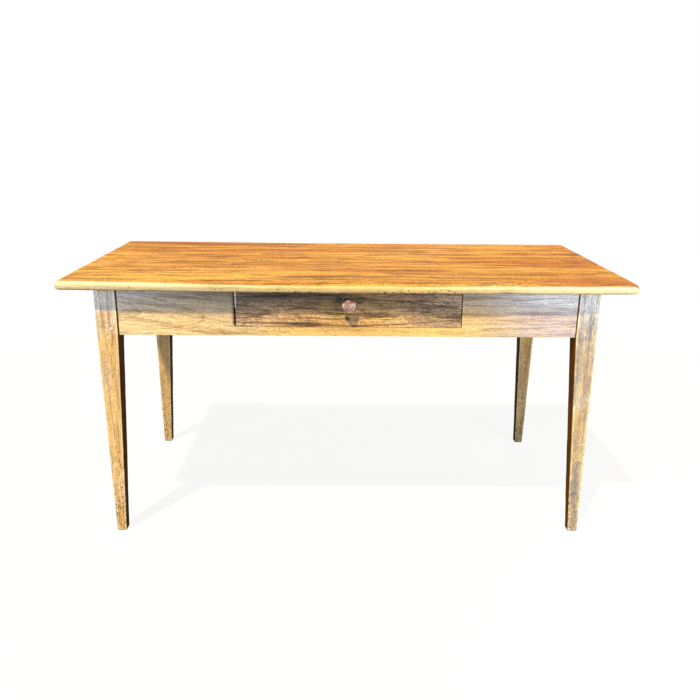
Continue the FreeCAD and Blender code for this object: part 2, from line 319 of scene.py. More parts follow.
def mark_mesh(
    mesh: bpy.types.Mesh,
    cut: Cut,
    middle: Vector,
    marks: Callable[[Vector, Vector], Marks],
) -> None:
    """Writes the marks that a finish reads to the points of a mesh.

    Args:
        mesh: mesh of the piece.
        cut: how the piece was cut from its log.
        middle: middle of the piece.
        marks: the marks apart from the grain, from a place and its normal.
    """
    values: dict[Mark, list[float]] = {mark: [] for mark in Mark}
    for vertex in mesh.vertices:
        found = marks(vertex.co, vertex.normal)
        for mark, numbers in values.items():
            if mark is Mark.GRAIN:
                numbers.extend(cut.place_in_log(vertex.co, middle))
            else:
                numbers.append(within(found.get(mark, 0.0), 0.0, 1.0))
    for mark, numbers in values.items():
        vector = mark is Mark.GRAIN
        attribute = mesh.attributes.new(mark.value, "FLOAT_VECTOR" if vector else "FLOAT", "POINT")
        attribute.data.foreach_set("vector" if vector else "value", numbers)


def bridge(shape: Shape, rings: Sequence[Sequence[bmesh.types.BMVert]]) -> None:
    """Closes the wall between each ring of points and the next.

    Args:
        shape: the shape that gets the faces.
        rings: rings with as many points each.
    """
    for ring, following in zip(rings, rings[1:]):
        for index in range(len(ring)):
            shape.faces.new((ring[index - 1], ring[index], following[index], following[index - 1]))


def piece_from(shape: Shape, name: str) -> Piece:
    """Turns a shape into a piece with soft faces and hard corners.

    Args:
        shape: the shape, which is freed.
        name: name of the piece.

    Returns:
        The new object, in the scene.
    """
    bmesh.ops.recalc_face_normals(shape, faces=shape.faces[:])
    for face in shape.faces:
        face.smooth = True
    for edge in shape.edges:
        edge.smooth = not edge.is_manifold or edge.calc_face_angle() < SOFT_EDGE_ANGLE
    mesh = bpy.data.meshes.new(name)
    shape.to_mesh(mesh)
    shape.free()
    piece = bpy.data.objects.new(name, mesh)
    bpy.context.scene.collection.objects.link(piece)
    return piece


def settle(piece: Piece, body: Body, slot: Slot, finish: Material, *nodes: str) -> None:
    """Gives a piece its finish, its body and the nodes that it stands for.

    Args:
        piece: the new piece.
        body: body that it moves with.
        slot: material slot; not used.
        finish: its material.
        nodes: CAD nodes that it replaces.
    """
    piece.data.materials.append(finish)
    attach(piece, body.value)
    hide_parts(*nodes)
    log.info("%s: %d faces, on %s", piece.name, len(piece.data.polygons), body.value)


class Grain(Enum):
    """Noises that run with the grain: waves in a metre along and across it, octaves and roughness."""

    BEND = (1.4, 7, 2, 0.55)
    TREMBLE = (14, 75, 2, 0.55)
    STREAKS = (2.8, 62, 5, 0.66)
    LINES = (3.5, 88, 3, 0.5)
    BROAD = (1.7, 15, 3, 0.55)
    FIBRE = (45, 420, 4, 0.65)
    PORES = (60, 1300, 1, 0.55)
    PATCHES = (0.45, 1, 5, 0.66)
    SPOTS = (130, 260, 2, 0.55)
    CROWD = (7, 11, 2, 0.55)
    SHEEN = (9, 55, 4, 0.6)
    RUB = (26, 120, 4, 0.65)


NOISE_MIDDLE = 0.5
TREMBLE_SHARE = 0.12
RING_STOPS = ((0.5, 0.03), (0.92, 0.25), (0.97, 1.0))
FAINTEST_YEAR = 0.4
STREAK_SPAN = (0.49, 0.63)
LINE_WIDTH = 0.05
BROAD_SPAN = (0.38, 0.62)
PORE_SPAN = (0.58, 0.68)
PATCH_SPAN = (0.46, 0.66)
SPOT_SPAN = (0.62, 0.7)
CROWD_SPAN = (0.54, 0.7)
RUB_SPAN = (0.3, 0.95)
MOTTLE_RATE = 170.0
MOTTLE_DETAIL = (2, 0.6)
CHIP_CROWDING = 0.3
CHIP_SPOTS = 0.13
BROKEN_SPAN = (0.3, 0.52)
HAZE_GAIN = 1.8
GRAIN_CONTRAST = 1.1
PORE_SHARE = 0.35
FLECK_SHARE = 0.7
SHEEN_SPAN = (0.25, 0.75)
SHEEN_ROUGHNESS = (-0.1, 0.12)
FLECK_ROUGHNESS = 0.12
FIBRE_HEIGHT = 0.5
RING_DEPTH = 0.25
FLECK_DEPTH = 0.5
BUMP_STRENGTH = 0.5
HEART_DISTANCE = 0.35


class Graph:
    """Adds nodes to one shader tree and links them."""

    def __init__(self, tree: bpy.types.NodeTree) -> None:
        """Keeps the tree that the nodes go to."""
        self.tree = tree

    def add(self, kind: str, feeds: Optional[Feeds] = None, **settings: Any) -> bpy.types.Node:
        """Adds a node.

        Args:
            kind: Blender's name for the node.
            feeds: what goes into its inputs, by their name or number.
            settings: its properties.

        Returns:
            The node.
        """
        node = self.tree.nodes.new(kind)
        for name, value in settings.items():
            setattr(node, name, value)
        for key, value in (feeds or {}).items():
            self.feed(node, key, value)
        return node

    def feed(self, node: bpy.types.Node, key: Union[str, int], value: Feed) -> None:
        """Links a value to an input of a node, or sets it there.

        Args:
            node: the node.
            key: name or number of its input.
            value: what goes into it.
        """
        if isinstance(value, Socket):
            self.tree.links.new(value, node.inputs[key])
        else:
            node.inputs[key].default_value = value

    def math(self, operation: str, first: Feed, second: Feed = 0.0, clamp: bool = False) -> Socket:
        """Sum, product or other simple function of one or two values."""
        feeds = {0: first, 1: second}
        return self.add("ShaderNodeMath", feeds, operation=operation, use_clamp=clamp).outputs[0]

    def times(self, first: Feed, second: Feed, clamp: bool = False) -> Socket:
        """Product of two values."""
        return self.math("MULTIPLY", first, second, clamp)

    def plus(self, first: Feed, second: Feed, clamp: bool = False) -> Socket:
        """Sum of two values."""
        return self.math("ADD", first, second, clamp)

    def less(self, first: Feed, second: Feed) -> Socket:
        """First value less the second."""
        return self.math("SUBTRACT", first, second)

    def swing(self, value: Feed) -> Socket:
        """A noise from 0 to 1, moved to swing round 0."""
        return self.less(value, NOISE_MIDDLE)

    def vector(self, operation: str, feeds: Feeds) -> bpy.types.Node:
        """Simple function of one or two vectors."""
        return self.add("ShaderNodeVectorMath", feeds, operation=operation)

    def stretched(self, place: Feed, rates: Feed) -> Socket:
        """A place multiplied by its own rate on each axis."""
        return self.vector("MULTIPLY", {0: place, 1: rates}).outputs[0]

    def scaled(self, place: Feed, rate: Feed) -> Socket:
        """A place multiplied by one rate."""
        return self.vector("SCALE", {0: place, "Scale": rate}).outputs[0]

    def length(self, place: Feed) -> Socket:
        """Distance of a place from the origin."""
        return self.vector("LENGTH", {0: place}).outputs["Value"]

    def noise(self, place: Feed, detail: float, roughness: float) -> Socket:
        """Smooth noise from 0 to 1 with one wave per unit of the place."""
        feeds = {"Vector": place, "Scale": 1.0, "Detail": detail, "Roughness": roughness}
        return self.add("ShaderNodeTexNoise", feeds).outputs[0]

    def grain(self, place: Feed, grain: Grain) -> Socket:
        """One of the noises that run with the grain, from 0 to 1."""
        along, across, detail, roughness = grain.value
        return self.noise(self.stretched(place, (along, across, across)), detail, roughness)

    def ease(self, value: Feed, low: float, high: float) -> Socket:
        """Smooth step from 0 at low to 1 at high."""
        feeds = {"Value": value, "From Min": low, "From Max": high}
        return self.add("ShaderNodeMapRange", feeds, interpolation_type="SMOOTHSTEP").outputs[0]

    def mix(self, share: Feed, first: Feed, second: Feed, blend: str = "MIX") -> Socket:
        """Mix of two colours.

        Args:
            share: how much of the second is taken.
            first: colour at 0.
            second: colour at 1.
            blend: Blender's name for the way of mixing.

        Returns:
            The mixed colour.
        """
        feeds = {0: share}
        for key, colour in ((6, first), (7, second)):
            feeds[key] = colour if isinstance(colour, Socket) else (*colour, 1.0)
        return self.add("ShaderNodeMix", feeds, data_type="RGBA", blend_type=blend).outputs[2]


class Effect:
    """Shader node group that several finishes share."""

    def __init__(self, name: str, inputs: Mapping[str, str], outputs: Sequence[str]) -> None:
        """Makes an empty group.

        Args:
            name: name of the group.
            inputs: names of its inputs, each with its kind.
            outputs: names of the values that it puts out.
        """
        self.tree = bpy.data.node_groups.new(name, "ShaderNodeTree")
        for label, kind in inputs.items():
            self.tree.interface.new_socket(name=label, in_out="INPUT", socket_type="NodeSocket" + kind)
        for label in outputs:
            self.tree.interface.new_socket(name=label, in_out="OUTPUT", socket_type="NodeSocketFloat")
        self.graph = Graph(self.tree)
        self.given = self.tree.nodes.new("NodeGroupInput").outputs
        self.made = self.tree.nodes.new("NodeGroupOutput").inputs

    def put_out(self, label: str, value: Socket) -> None:
        """Links a value to an output of the group."""
        self.tree.links.new(value, self.made[label])

    def use(self, graph: Graph, feeds: Mapping[str, Feed]) -> Mapping[str, Socket]:
        """Places the group in a material.

        Args:
            graph: tree of the material.
            feeds: what goes into the group.

        Returns:
            The group's outputs by name.
        """
        return graph.add("ShaderNodeGroup", feeds, node_tree=self.tree).outputs


def growth_effect() -> Effect:
    """Growth rings, streaks, fibres and pores of sawn wood, from a place in the log.

    Returns:
        The node group.
    """
    effect = Effect(
        "growth",
        {"Place": "Vector", "Spacing": "Float", "Wander": "Float", "Fineness": "Float", "Grit": "Float"},
        ("Rings", "Streaks", "Lines", "Broad", "Mottle", "Fibre", "Pores"),
    )
    graph, given = effect.graph, effect.given
    place = given["Place"]
    parts = graph.add("ShaderNodeSeparateXYZ", {0: place}).outputs
    radius = graph.length(graph.add("ShaderNodeCombineXYZ", {1: parts[1], 2: parts[2]}).outputs[0])
    tremble = graph.times(graph.swing(graph.grain(place, Grain.TREMBLE)), TREMBLE_SHARE)
    unrest = graph.plus(graph.swing(graph.grain(place, Grain.BEND)), tremble)
    shifted = graph.plus(radius, graph.times(unrest, given["Wander"]))
    phase = graph.math("DIVIDE", shifted, given["Spacing"])
    ramp = graph.add("ShaderNodeValToRGB", {0: graph.math("FRACT", phase)})
    for element in ramp.color_ramp.elements:
        element.color = (0, 0, 0, 1)
    for stop, level in RING_STOPS:
        ramp.color_ramp.elements.new(stop).color = (level, level, level, 1)
    year = graph.add("ShaderNodeTexWhiteNoise", {"W": graph.math("FLOOR", phase)}, noise_dimensions="1D")
    strength = graph.plus(graph.times(year.outputs[0], 1 - FAINTEST_YEAR), FAINTEST_YEAR)
    effect.put_out("Rings", graph.times(ramp.outputs[0], strength))
    fine = graph.scaled(place, given["Fineness"])
    effect.put_out("Streaks", graph.ease(graph.grain(fine, Grain.STREAKS), *STREAK_SPAN))
    ridge = graph.math("ABSOLUTE", graph.swing(graph.grain(fine, Grain.LINES)))
    effect.put_out("Lines", graph.less(1.0, graph.ease(ridge, 0.0, LINE_WIDTH)))
    effect.put_out("Broad", graph.ease(graph.grain(place, Grain.BROAD), *BROAD_SPAN))
    rates = graph.add("ShaderNodeCombineXYZ", {0: MOTTLE_RATE, 1: given["Grit"], 2: given["Grit"]}).outputs[0]
    effect.put_out("Mottle", graph.noise(graph.stretched(place, rates), *MOTTLE_DETAIL))
    effect.put_out("Fibre", graph.grain(place, Grain.FIBRE))
    effect.put_out("Pores", graph.ease(graph.grain(place, Grain.PORES), *PORE_SPAN))
    return effect


def patina_effect() -> Effect:
    """Dirt patches and dark flecks that old waxed wood gathers.

    Returns:
        The node group.
    """
    effect = Effect(
        "patina", {"Place": "Vector", "Rate": "Float", "Chips": "Float"}, ("Patches", "Flecks", "Sheen"))
    graph, given = effect.graph, effect.given
    place = given["Place"]
    patches = graph.grain(graph.scaled(place, given["Rate"]), Grain.PATCHES)
    effect.put_out("Patches", graph.ease(patches, *PATCH_SPAN))
    spots = graph.plus(graph.grain(place, Grain.SPOTS), graph.times(given["Chips"], CHIP_SPOTS))
    crowd = graph.plus(graph.grain(place, Grain.CROWD), graph.times(given["Chips"], CHIP_CROWDING))
    flecks = graph.times(graph.ease(spots, *SPOT_SPAN), graph.ease(crowd, *CROWD_SPAN))
    effect.put_out("Flecks", flecks)
    effect.put_out("Sheen", graph.grain(place, Grain.SHEEN))
    return effect


def rubbing_effect() -> Effect:
    """Where an edge is rubbed pale, from its nearness and some chance.

    Returns:
        The node group.
    """
    effect = Effect("rubbing", {"Place": "Vector", "Arris": "Float"}, ("Rub",))
    graph, given = effect.graph, effect.given
    reach = graph.plus(given["Arris"], graph.swing(graph.grain(given["Place"], Grain.RUB)))
    effect.put_out("Rub", graph.ease(reach, *RUB_SPAN))
    return effect


@dataclass(frozen=True)
class Effects:
    """The shared shader node groups."""

    growth: Effect = field(default_factory=growth_effect)
    patina: Effect = field(default_factory=patina_effect)
    rubbing: Effect = field(default_factory=rubbing_effect)


def bare_material(name: str) -> tuple[Material, Graph, bpy.types.Node]:
    """Makes a material.

    Args:
        name: name of the material.

    Returns:
        The material, its graph and its Principled shader.
    """
    material = bpy.data.materials.new(name)
    material.use_nodes = True
    return material, Graph(material.node_tree), material.node_tree.nodes["Principled BSDF"]


@dataclass(frozen=True)
class WoodFinish:
    """Old wood with its colours, its figure and its wear.

    Attributes:
        name: name of the material.
        pale: colour of the early wood.
        mid: colour of the broad bands.
        dark: colour of rings and streaks.
        worn: colour of rubbed edges.
        grime: colour of dirt, stains and flecks.
        dull: tint of the painted shade, multiplied into faces where shade falls.
        faded: colour that the wood pales to.
        bloom: colour of the painted sheen that pales faces in the overhang's shade; on the top, a yellow tint
            of the wood.
        spacing: distance between growth rings.
        wander: how far the rings stray.
        fineness: how close the streaks lie.
        ring_share: strength of the rings.
        streak_share: strength of the streaks.
        line_share: strength of the fine dark lines.
        grit: specks of mottling in a metre across the grain.
        mottle_share: strength of the mottling.
        patch_share: strength of the dirt patches.
        patch_rate: dirt patches in a metre.
        wear_share: strength of the edges' wear.
        roughness: mean roughness.
        gloss: level of the mirror light.
        relief: height of the grain's relief.
        grain_axis: axis of the grain on a CAD node, or None where the mesh has its marks.
    """

    name: str
    pale: Colour
    mid: Colour
    dark: Colour
    worn: Colour
    grime: Colour
    dull: Colour
    faded: Colour
    bloom: Colour = paint(255, 228, 172)
    spacing: float = 0.005
    wander: float = 0.03
    fineness: float = 1.0
    ring_share: float = 0.5
    streak_share: float = 0.5
    line_share: float = 0.3
    grit: float = 260.0
    mottle_share: float = 0.6
    patch_share: float = 0.4
    patch_rate: float = 9.0
    wear_share: float = 0.7
    roughness: float = 0.48
    gloss: float = 0.25
    relief: float = 0.0004
    grain_axis: Optional[Axis] = None

    def place(self, graph: Graph) -> Socket:
        """Place in the log, from the mesh's marks or from a CAD node's own axes.

        Args:
            graph: tree of the material.

        Returns:
            The place, with the grain along its first axis.
        """
        if self.grain_axis is None:
            return graph.add("ShaderNodeAttribute", attribute_name=Mark.GRAIN.value).outputs["Vector"]
        own_place = graph.add("ShaderNodeTexCoord").outputs["Object"]
        parts = graph.add("ShaderNodeSeparateXYZ", {0: own_place}).outputs
        order = (self.grain_axis.value + shift for shift in range(3))
        along, across, through = (parts[axis % 3] for axis in order)
        away = graph.plus(through, HEART_DISTANCE)
        return graph.add("ShaderNodeCombineXYZ", {0: along, 1: across, 2: away}).outputs[0]

    def mark(self, graph: Graph, mark: Mark) -> Feed:
        """A mark of the mesh, or 0 on a CAD node."""
        if self.grain_axis is not None:
            return 0.0
        return graph.add("ShaderNodeAttribute", attribute_name=mark.value).outputs["Fac"]

    def material(self, effects: Effects) -> Material:
        """Builds the material.

        Args:
            effects: the shared shader node groups.

        Returns:
            The new material.
        """
        material, graph, shader = bare_material(self.name)
        place = self.place(graph)
        growth = effects.growth.use(graph, {
            "Place": place, "Spacing": self.spacing, "Wander": self.wander, "Fineness": self.fineness,
            "Grit": self.grit})
        chips = self.mark(graph, Mark.CHIPS)
        patina = effects.patina.use(graph, {"Place": place, "Rate": self.patch_rate, "Chips": chips})
        rub = effects.rubbing.use(graph, {"Place": place, "Arris": self.mark(graph, Mark.ARRIS)})["Rub"]
        broken = graph.ease(growth["Fibre"], *BROKEN_SPAN)
        # Share of the painted sheen colour, which on the top is a yellow tint instead.
        haze = graph.times(patina["Sheen"], self.mark(graph, Mark.BLOOM))
        flecks = graph.plus(
            graph.times(growth["Pores"], PORE_SHARE), graph.times(patina["Flecks"], FLECK_SHARE), clamp=True)

        tone = graph.mix(growth["Broad"], self.pale, self.mid)
        tone = graph.mix(graph.times(broken, self.mark(graph, Mark.FADING)), tone, self.faded)
        tone = graph.mix(graph.times(haze, HAZE_GAIN, clamp=True), tone, self.bloom)
        layers = (
            (growth["Streaks"], self.streak_share, self.dark),
            (growth["Lines"], self.line_share, self.grime),
            (growth["Rings"], self.ring_share, self.dark),
            (patina["Patches"], self.patch_share, self.grime),
            (rub, self.wear_share, self.worn),
        )
        for mask, share, colour in layers:
            tone = graph.mix(graph.times(mask, share), tone, colour)
        mottle = graph.times(graph.swing(growth["Mottle"]), self.mottle_share)
        unrest = graph.plus(graph.swing(growth["Fibre"]), graph.times(mottle, graph.less(1.0, rub)))
        light = graph.less(1.0, graph.times(unrest, GRAIN_CONTRAST))
        grey = graph.add("ShaderNodeCombineColor", {0: light, 1: light, 2: light}).outputs[0]
        tone = graph.mix(1.0, tone, grey, "MULTIPLY")
        tone = graph.mix(flecks, tone, self.grime)
        tone = graph.mix(graph.times(broken, self.mark(graph, Mark.STAIN)), tone, self.grime)
        # Painted shade: faces with the shade mark are multiplied by the dull tint.
        shaded_tone = graph.mix(1.0, tone, self.dull, "MULTIPLY")
        graph.feed(shader, "Base Color", graph.mix(self.mark(graph, Mark.SHELTER), tone, shaded_tone))

        waxed, bare = (self.roughness + change for change in SHEEN_ROUGHNESS)
        rough = graph.add("ShaderNodeMapRange", {
            "Value": patina["Sheen"], "From Min": SHEEN_SPAN[0], "From Max": SHEEN_SPAN[1],
            "To Min": waxed, "To Max": bare}).outputs[0]
        graph.feed(shader, "Roughness", graph.plus(rough, graph.times(flecks, FLECK_ROUGHNESS), clamp=True))
        graph.feed(shader, "Specular IOR Level", self.gloss)

        height = graph.less(
            graph.times(growth["Fibre"], FIBRE_HEIGHT), graph.times(growth["Rings"], RING_DEPTH))
        height = graph.less(height, graph.times(flecks, FLECK_DEPTH))
        bump = graph.add(
            "ShaderNodeBump", {"Strength": BUMP_STRENGTH, "Distance": self.relief, "Height": height})
        graph.feed(shader, "Normal", bump.outputs[0])
        return material


@dataclass(frozen=True)
class IronFinish:
    """Dull dark iron with a little rust.

    Attributes:
        name: name of the material.
        bare: colour of the iron.
        rust: colour of the rust.
        rust_rate: patches of rust in a metre.
        metallic: how far the bare iron and the rust shine as metal.
        roughness: roughness of the bare iron and of the rust.
    """

    name: str
    bare: Colour
    rust: Colour
    rust_rate: float = 220.0
    metallic: Span = (0.9, 0.1)
    roughness: Span = (0.45, 0.85)

    def material(self, effects: Effects) -> Material:
        """Builds the material.

        Args:
            effects: the shared shader node groups.

        Returns:
            The new material.
        """
        material, graph, shader = bare_material(self.name)
        place = graph.add("ShaderNodeTexCoord").outputs["Object"]
        rusted = effects.patina.use(graph, {"Place": place, "Rate": self.rust_rate})["Patches"]
        graph.feed(shader, "Base Color", graph.mix(rusted, self.bare, self.rust))
        for label, (clean, rusty) in (("Metallic", self.metallic), ("Roughness", self.roughness)):
            graph.feed(shader, label, graph.plus(clean, graph.times(rusted, rusty - clean)))
        return material


# Unevenness of squared wood and dents in its arrises, and how many edges round a place may be its nearest.
WAVE_ALONG = 0.25
WAVE_ACROSS = 0.05
DENT_WAVES = (0.02, 0.02, 0.02)
DENT_SEED = 5
NEIGHBOURS = 6

# Flats over an eased arris, and how round it is.
EASING_FLATS = 2
EASING_ROUNDNESS = 0.5


@dataclass
class Timber:
    """Squared piece of wood with eased, uneven arrises, made of the filled cells of a lattice.

    Attributes:
        name: name of the piece.
        lines: places of the lattice's lines on each axis.
        cut: how the piece was cut from its log.
        filled: whether the cell around a place is wood.
        marks: the marks apart from the grain and the arrises.
        easing: size of the eased arris.
        unevenness: how far the faces stray from flat.
    """

    name: str
    lines: tuple[list[float], list[float], list[float]]
    cut: Cut
    filled: Callable[[Vector], bool] = lambda place: True
    marks: Callable[[Vector, Vector], Marks] = lambda place, normal: {}
    easing: float = 0.0012
    unevenness: float = 0.0003

    def cells(self) -> set[tuple[int, int, int]]:
        """Cells of the lattice that are wood.

        Returns:
            Their numbers on each axis.
        """
        found = set()
        for cell in product(*(range(len(lines) - 1) for lines in self.lines)):
            if self.filled(Vector((lines[n] + lines[n + 1]) / 2 for lines, n in zip(self.lines, cell))):
                found.add(cell)
        return found

    def shell(self) -> Shape:
        """Faces between the wood and the air.

        Returns:
            The shape before its arrises are eased.
        """
        shape = bmesh.new()
        corners: dict[tuple[int, int, int], bmesh.types.BMVert] = {}
        cells = self.cells()
        for cell, axis, side in product(cells, range(3), (0, 1)):
            beyond = list(cell)
            beyond[axis] += 2 * side - 1
            if tuple(beyond) in cells:
                continue
            ring = []
            for first, second in ((0, 0), (1, 0), (1, 1), (0, 1)):
                steps = list(cell)
                steps[axis] += side
                steps[(axis + 1) % 3] += first
                steps[(axis + 2) % 3] += second
                index = tuple(steps)
                if index not in corners:
                    corners[index] = shape.verts.new([lines[n] for lines, n in zip(self.lines, index)])
                ring.append(corners[index])
            shape.faces.new(ring if side else ring[::-1])
        return shape

    def build(self) -> Piece:
        """Builds the piece with its marks.

        Returns:
            The new piece.
        """
        shape = self.shell()
        hard = [edge for edge in shape.edges if edge.calc_face_angle(0.0) > SOFT_EDGE_ANGLE]
        self.ends = [(edge.verts[0].co.copy(), edge.verts[1].co.copy()) for edge in hard]
        self.tree = kdtree.KDTree(len(self.ends))
        for index, (start, end) in enumerate(self.ends):
            self.tree.insert((start + end) / 2, index)
        self.tree.balance()
        bmesh.ops.bevel(shape, geom=hard, offset=self.easing, segments=EASING_FLATS,
                        profile=EASING_ROUNDNESS, affect="EDGES", clamp_overlap=True)
        shape.normal_update()
        seed = self.cut.start
        waves = [WAVE_ACROSS] * 3
        waves[self.cut.axes[0].value] = WAVE_ALONG
        for vertex in shape.verts:
            wave = self.unevenness * ripple(vertex.co, waves, seed)
            chance = max(0.0, ripple(vertex.co, DENT_WAVES, seed + DENT_SEED))
            vertex.co += vertex.normal * (wave - self.easing * chance * self.arris(vertex.co))
        piece = piece_from(shape, self.name)
        middle = Vector((lines[0] + lines[-1]) / 2 for lines in self.lines)
        mark_mesh(piece.data, self.cut, middle, self.worn_marks)
        return piece

    def arris(self, place: Vector) -> float:
        """How near a place is to an arris.

        Args:
            place: where it is read.

        Returns:
            1 on an arris, and 0 where none is within reach.
        """
        nearest = ARRIS_REACH
        for _, index, _ in self.tree.find_n(place, NEIGHBOURS):
            start, end = self.ends[index]
            run = end - start
            share = within((place - start).dot(run) / run.length_squared, 0.0, 1.0)
            nearest = min(nearest, (place - start - run * share).length)
        return 1 - nearest / ARRIS_REACH

    def worn_marks(self, place: Vector, normal: Vector) -> Marks:
        """The marks at a place, with the arrises."""
        return {**self.marks(place, normal), Mark.ARRIS: self.arris(place)}


# How the wear, the painted shade and the partly painted highlight go round the top's bullnose, by the
# downward part of a normal.
BULLNOSE_UNDER = (-0.3, 0.5)
BULLNOSE_GLOOM = (-0.3, 0.3)
BULLNOSE_CHIPS = (-0.3, 0.4)
BULLNOSE_FADING = (-0.2, 0.8)

# Width of the rubbed edge in radii of the bullnose, its widening to the left and below, and its soft rim; its
# paleness is partly worn wood and partly a painted highlight.
RUB_WIDTH = 0.32
RUB_LEFT = 0.5
RUB_UNDER = 0.6
RUB_RIM = (0.5, 1.5)

# Chips under the front edge: their wavelengths, noise and levels, and how far a chip goes in against up.
LARGE_CHIPS = (0.02, 0.05, 0.05)
SMALL_CHIPS = (0.006, 0.05, 0.05)
CHIP_SEED = 3
SMALL_CHIP_SHARE = 0.6
CHIP_SPAN = (0.0, 0.7)
CHIP_INWARD = 0.6

# Distance from the edge, in radii of the bullnose, over which painted shade darkens the underside.
UNDERSIDE_SPAN = (1, 3)


@dataclass
class TopBoard:
    """One board of the top, with a bullnose where it meets the open.

    Attributes:
        node: CAD node that the board replaces.
        cut: how the board was cut from its log.
        open_front: whether its front is the table's edge.
        open_back: whether its back is the table's edge.
        stains: dark marks on its face.
        round_share: radius of the bullnose as a share of the thickness.
        corner_extra: how much larger the plan corners are than the bullnose.
        joint_easing: eased edge at a joint between boards.
        step: distance between the lines of the mesh.
        arc_steps: lines over the bullnose.
        cupping: how far the board's middle stands up.
        hollow: how far the back edge is worn down in the middle of its length.
        lower_share: height of the bullnose's lower half against its upper half.
        droop: how far the front edge hangs lower to the right of its middle.
        droop_span: places where the droop starts and ends.
        unevenness: how far the faces stray from flat.
        face_waves: wavelengths of that.
        chip_depth: depth of the chips under the front edge.
        chip_span: stretch of the front edge that is chipped.
        chip_run: stretch over which the chips start and end.
        worn_span: distances to the left between which the rubbed edge widens.
        fade_span: distances from the middle between which the edge pales, partly as a painted highlight.
        yellowing: how far the left end of the face has turned yellow.
        yellow_span: distances to the left and to the front between which it does.
        under_gloom: how far painted shade darkens the bullnose's lower half towards the ends.
        middle_gloom: how far it does in the middle.
        under_loss: how much less the bullnose is rubbed below.
        edge_flecking: how thick flecks lie on the edge, and how much thicker where it is chipped.
        flecking: how thick flecks lie where they gather on the face.
        fleck_span: levels of noise between which they gather.
        fleck_stain: how far the wood has darkened there.
        fleck_waves: distances between such places.
    """

    node: str
    cut: Cut
    open_front: bool = False
    open_back: bool = False
    stains: tuple[Patch, ...] = ()
    round_share: float = 0.44
    corner_extra: float = 0.007
    joint_easing: float = 0.0012
    step: float = 0.008
    arc_steps: int = 7
    cupping: float = 0.0006
    hollow: float = 0.0022
    lower_share: float = 0.5
    droop: float = 0.0045
    droop_span: Span = (-0.75, 0.88)
    unevenness: float = 0.00035
    face_waves: Waves = (0.16, 0.05, 0.05)
    chip_depth: float = 0.0035
    chip_span: Span = (-0.25, 0.5)
    chip_run: float = 0.1
    worn_span: Span = (0.35, 0.7)
    fade_span: Span = (0.12, 0.5)
    yellowing: float = 0.3
    yellow_span: tuple[Span, Span] = ((-0.3, 0.6), (-0.2, 0.1))
    under_gloom: float = 0.42
    middle_gloom: float = 0.168
    under_loss: float = 0.25
    edge_flecking: Span = (0.2, 0.6)
    flecking: float = 0.75
    fleck_span: Span = (0.14, 0.42)
    fleck_stain: float = 0.34
    fleck_waves: Waves = (0.085, 0.016, 0.016)

    def __post_init__(self) -> None:
        """Takes the board's place from the frame."""
        self.low, self.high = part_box(self.node)
        self.radius = self.round_share * (self.high.z - self.low.z)
        self.corner = self.radius + self.corner_extra
        self.apron_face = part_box("apron_front")[0].y

    def edge_lines(self, start: float, end: float, open_start: bool, open_end: bool) -> list[Span]:
        """Lines of the mesh along or across the board.

        Args:
            start: lower edge of the board.
            end: upper edge of the board.
            open_start: whether the lower edge has a bullnose.
            open_end: whether the upper edge has a bullnose.

        Returns:
            Pairs of place and fall, where the fall is how far the face drops there.
        """
        arc = []
        for index in range(self.arc_steps, -1, -1):
            angle = math.pi / 2 * index / self.arc_steps
            arc.append((self.radius * (1 - math.sin(angle)), self.radius * (1 - math.cos(angle))))
        easing = [(0.0, self.joint_easing), (self.joint_easing, 0.0)]
        near = arc if open_start else easing
        far = arc if open_end else easing
        inner_start = start + (self.corner if open_start else 2 * self.joint_easing)
        inner_end = end - (self.corner if open_end else 2 * self.joint_easing)
        lines = [(start + depth, fall) for depth, fall in near]
        lines += [(place, 0.0) for place in spaced((inner_start, inner_end), self.step)]
        lines += [(end - depth, fall) for depth, fall in reversed(far)]
        return lines

    def rounded(self, x: float, y: float) -> Span:
        """Moves a place in a square corner to the round one.

        Args:
            x: place along the table.
            y: place across the table.

        Returns:
            The moved place.
        """
        over_x = abs(x) - (self.high.x - self.corner)
        over_y = 0.0
        if self.open_front:
            over_y = max(over_y, self.low.y + self.corner - y)
        if self.open_back:
            over_y = max(over_y, y - self.high.y + self.corner)
        if over_x <= 0 or over_y <= 0:
            return x, y
        shrink = max(over_x, over_y) / math.hypot(over_x, over_y)
        side_y = 1 if y > (self.low.y + self.high.y) / 2 else -1
        middle_x = math.copysign(self.high.x - self.corner, x)
        middle_y = y - side_y * over_y
        return middle_x + math.copysign(over_x * shrink, x), middle_y + side_y * over_y * shrink

    def weathered(self, place: Vector, upper: bool, fall: float) -> Vector:
        """Moves a point as years of use have.

        Args:
            place: the point on the new board.
            upper: whether it is on the upper face.
            fall: how far the bullnose drops there.

        Returns:
            The moved point.
        """
        seed = self.cut.start
        moved = place.copy()
        across = (place.y - self.low.y) / (self.high.y - self.low.y)
        inner = 1 - min(1.0, fall / self.radius)
        moved.z += self.unevenness * ripple(place, self.face_waves, seed) * inner
        if self.open_front:
            start, end = self.droop_span
            share = max(0.0, (place.x - start) * (end - place.x)) * 4 / (end - start) ** 2
            moved.z -= self.droop * share * ease(-place.y, -self.apron_face, -self.low.y)
        if upper:
            along = place.x / self.high.x
            moved.z -= self.cupping * (2 * across - 1) ** 2 * inner
            moved.z -= self.hollow * (1 - along * along) * ease(place.y, 0.0, cad_box[1].y)
        elif self.open_front and across < 0.5 and fall > 0:
            chance = ripple(place, LARGE_CHIPS, seed + CHIP_SEED)
            chance += SMALL_CHIP_SHARE * ripple(place, SMALL_CHIPS, seed)
            chip = self.chip_depth * self.chipped(place.x) * ease(chance, *CHIP_SPAN)
            moved.y += CHIP_INWARD * chip * fall / self.radius
            moved.z += chip
        return moved

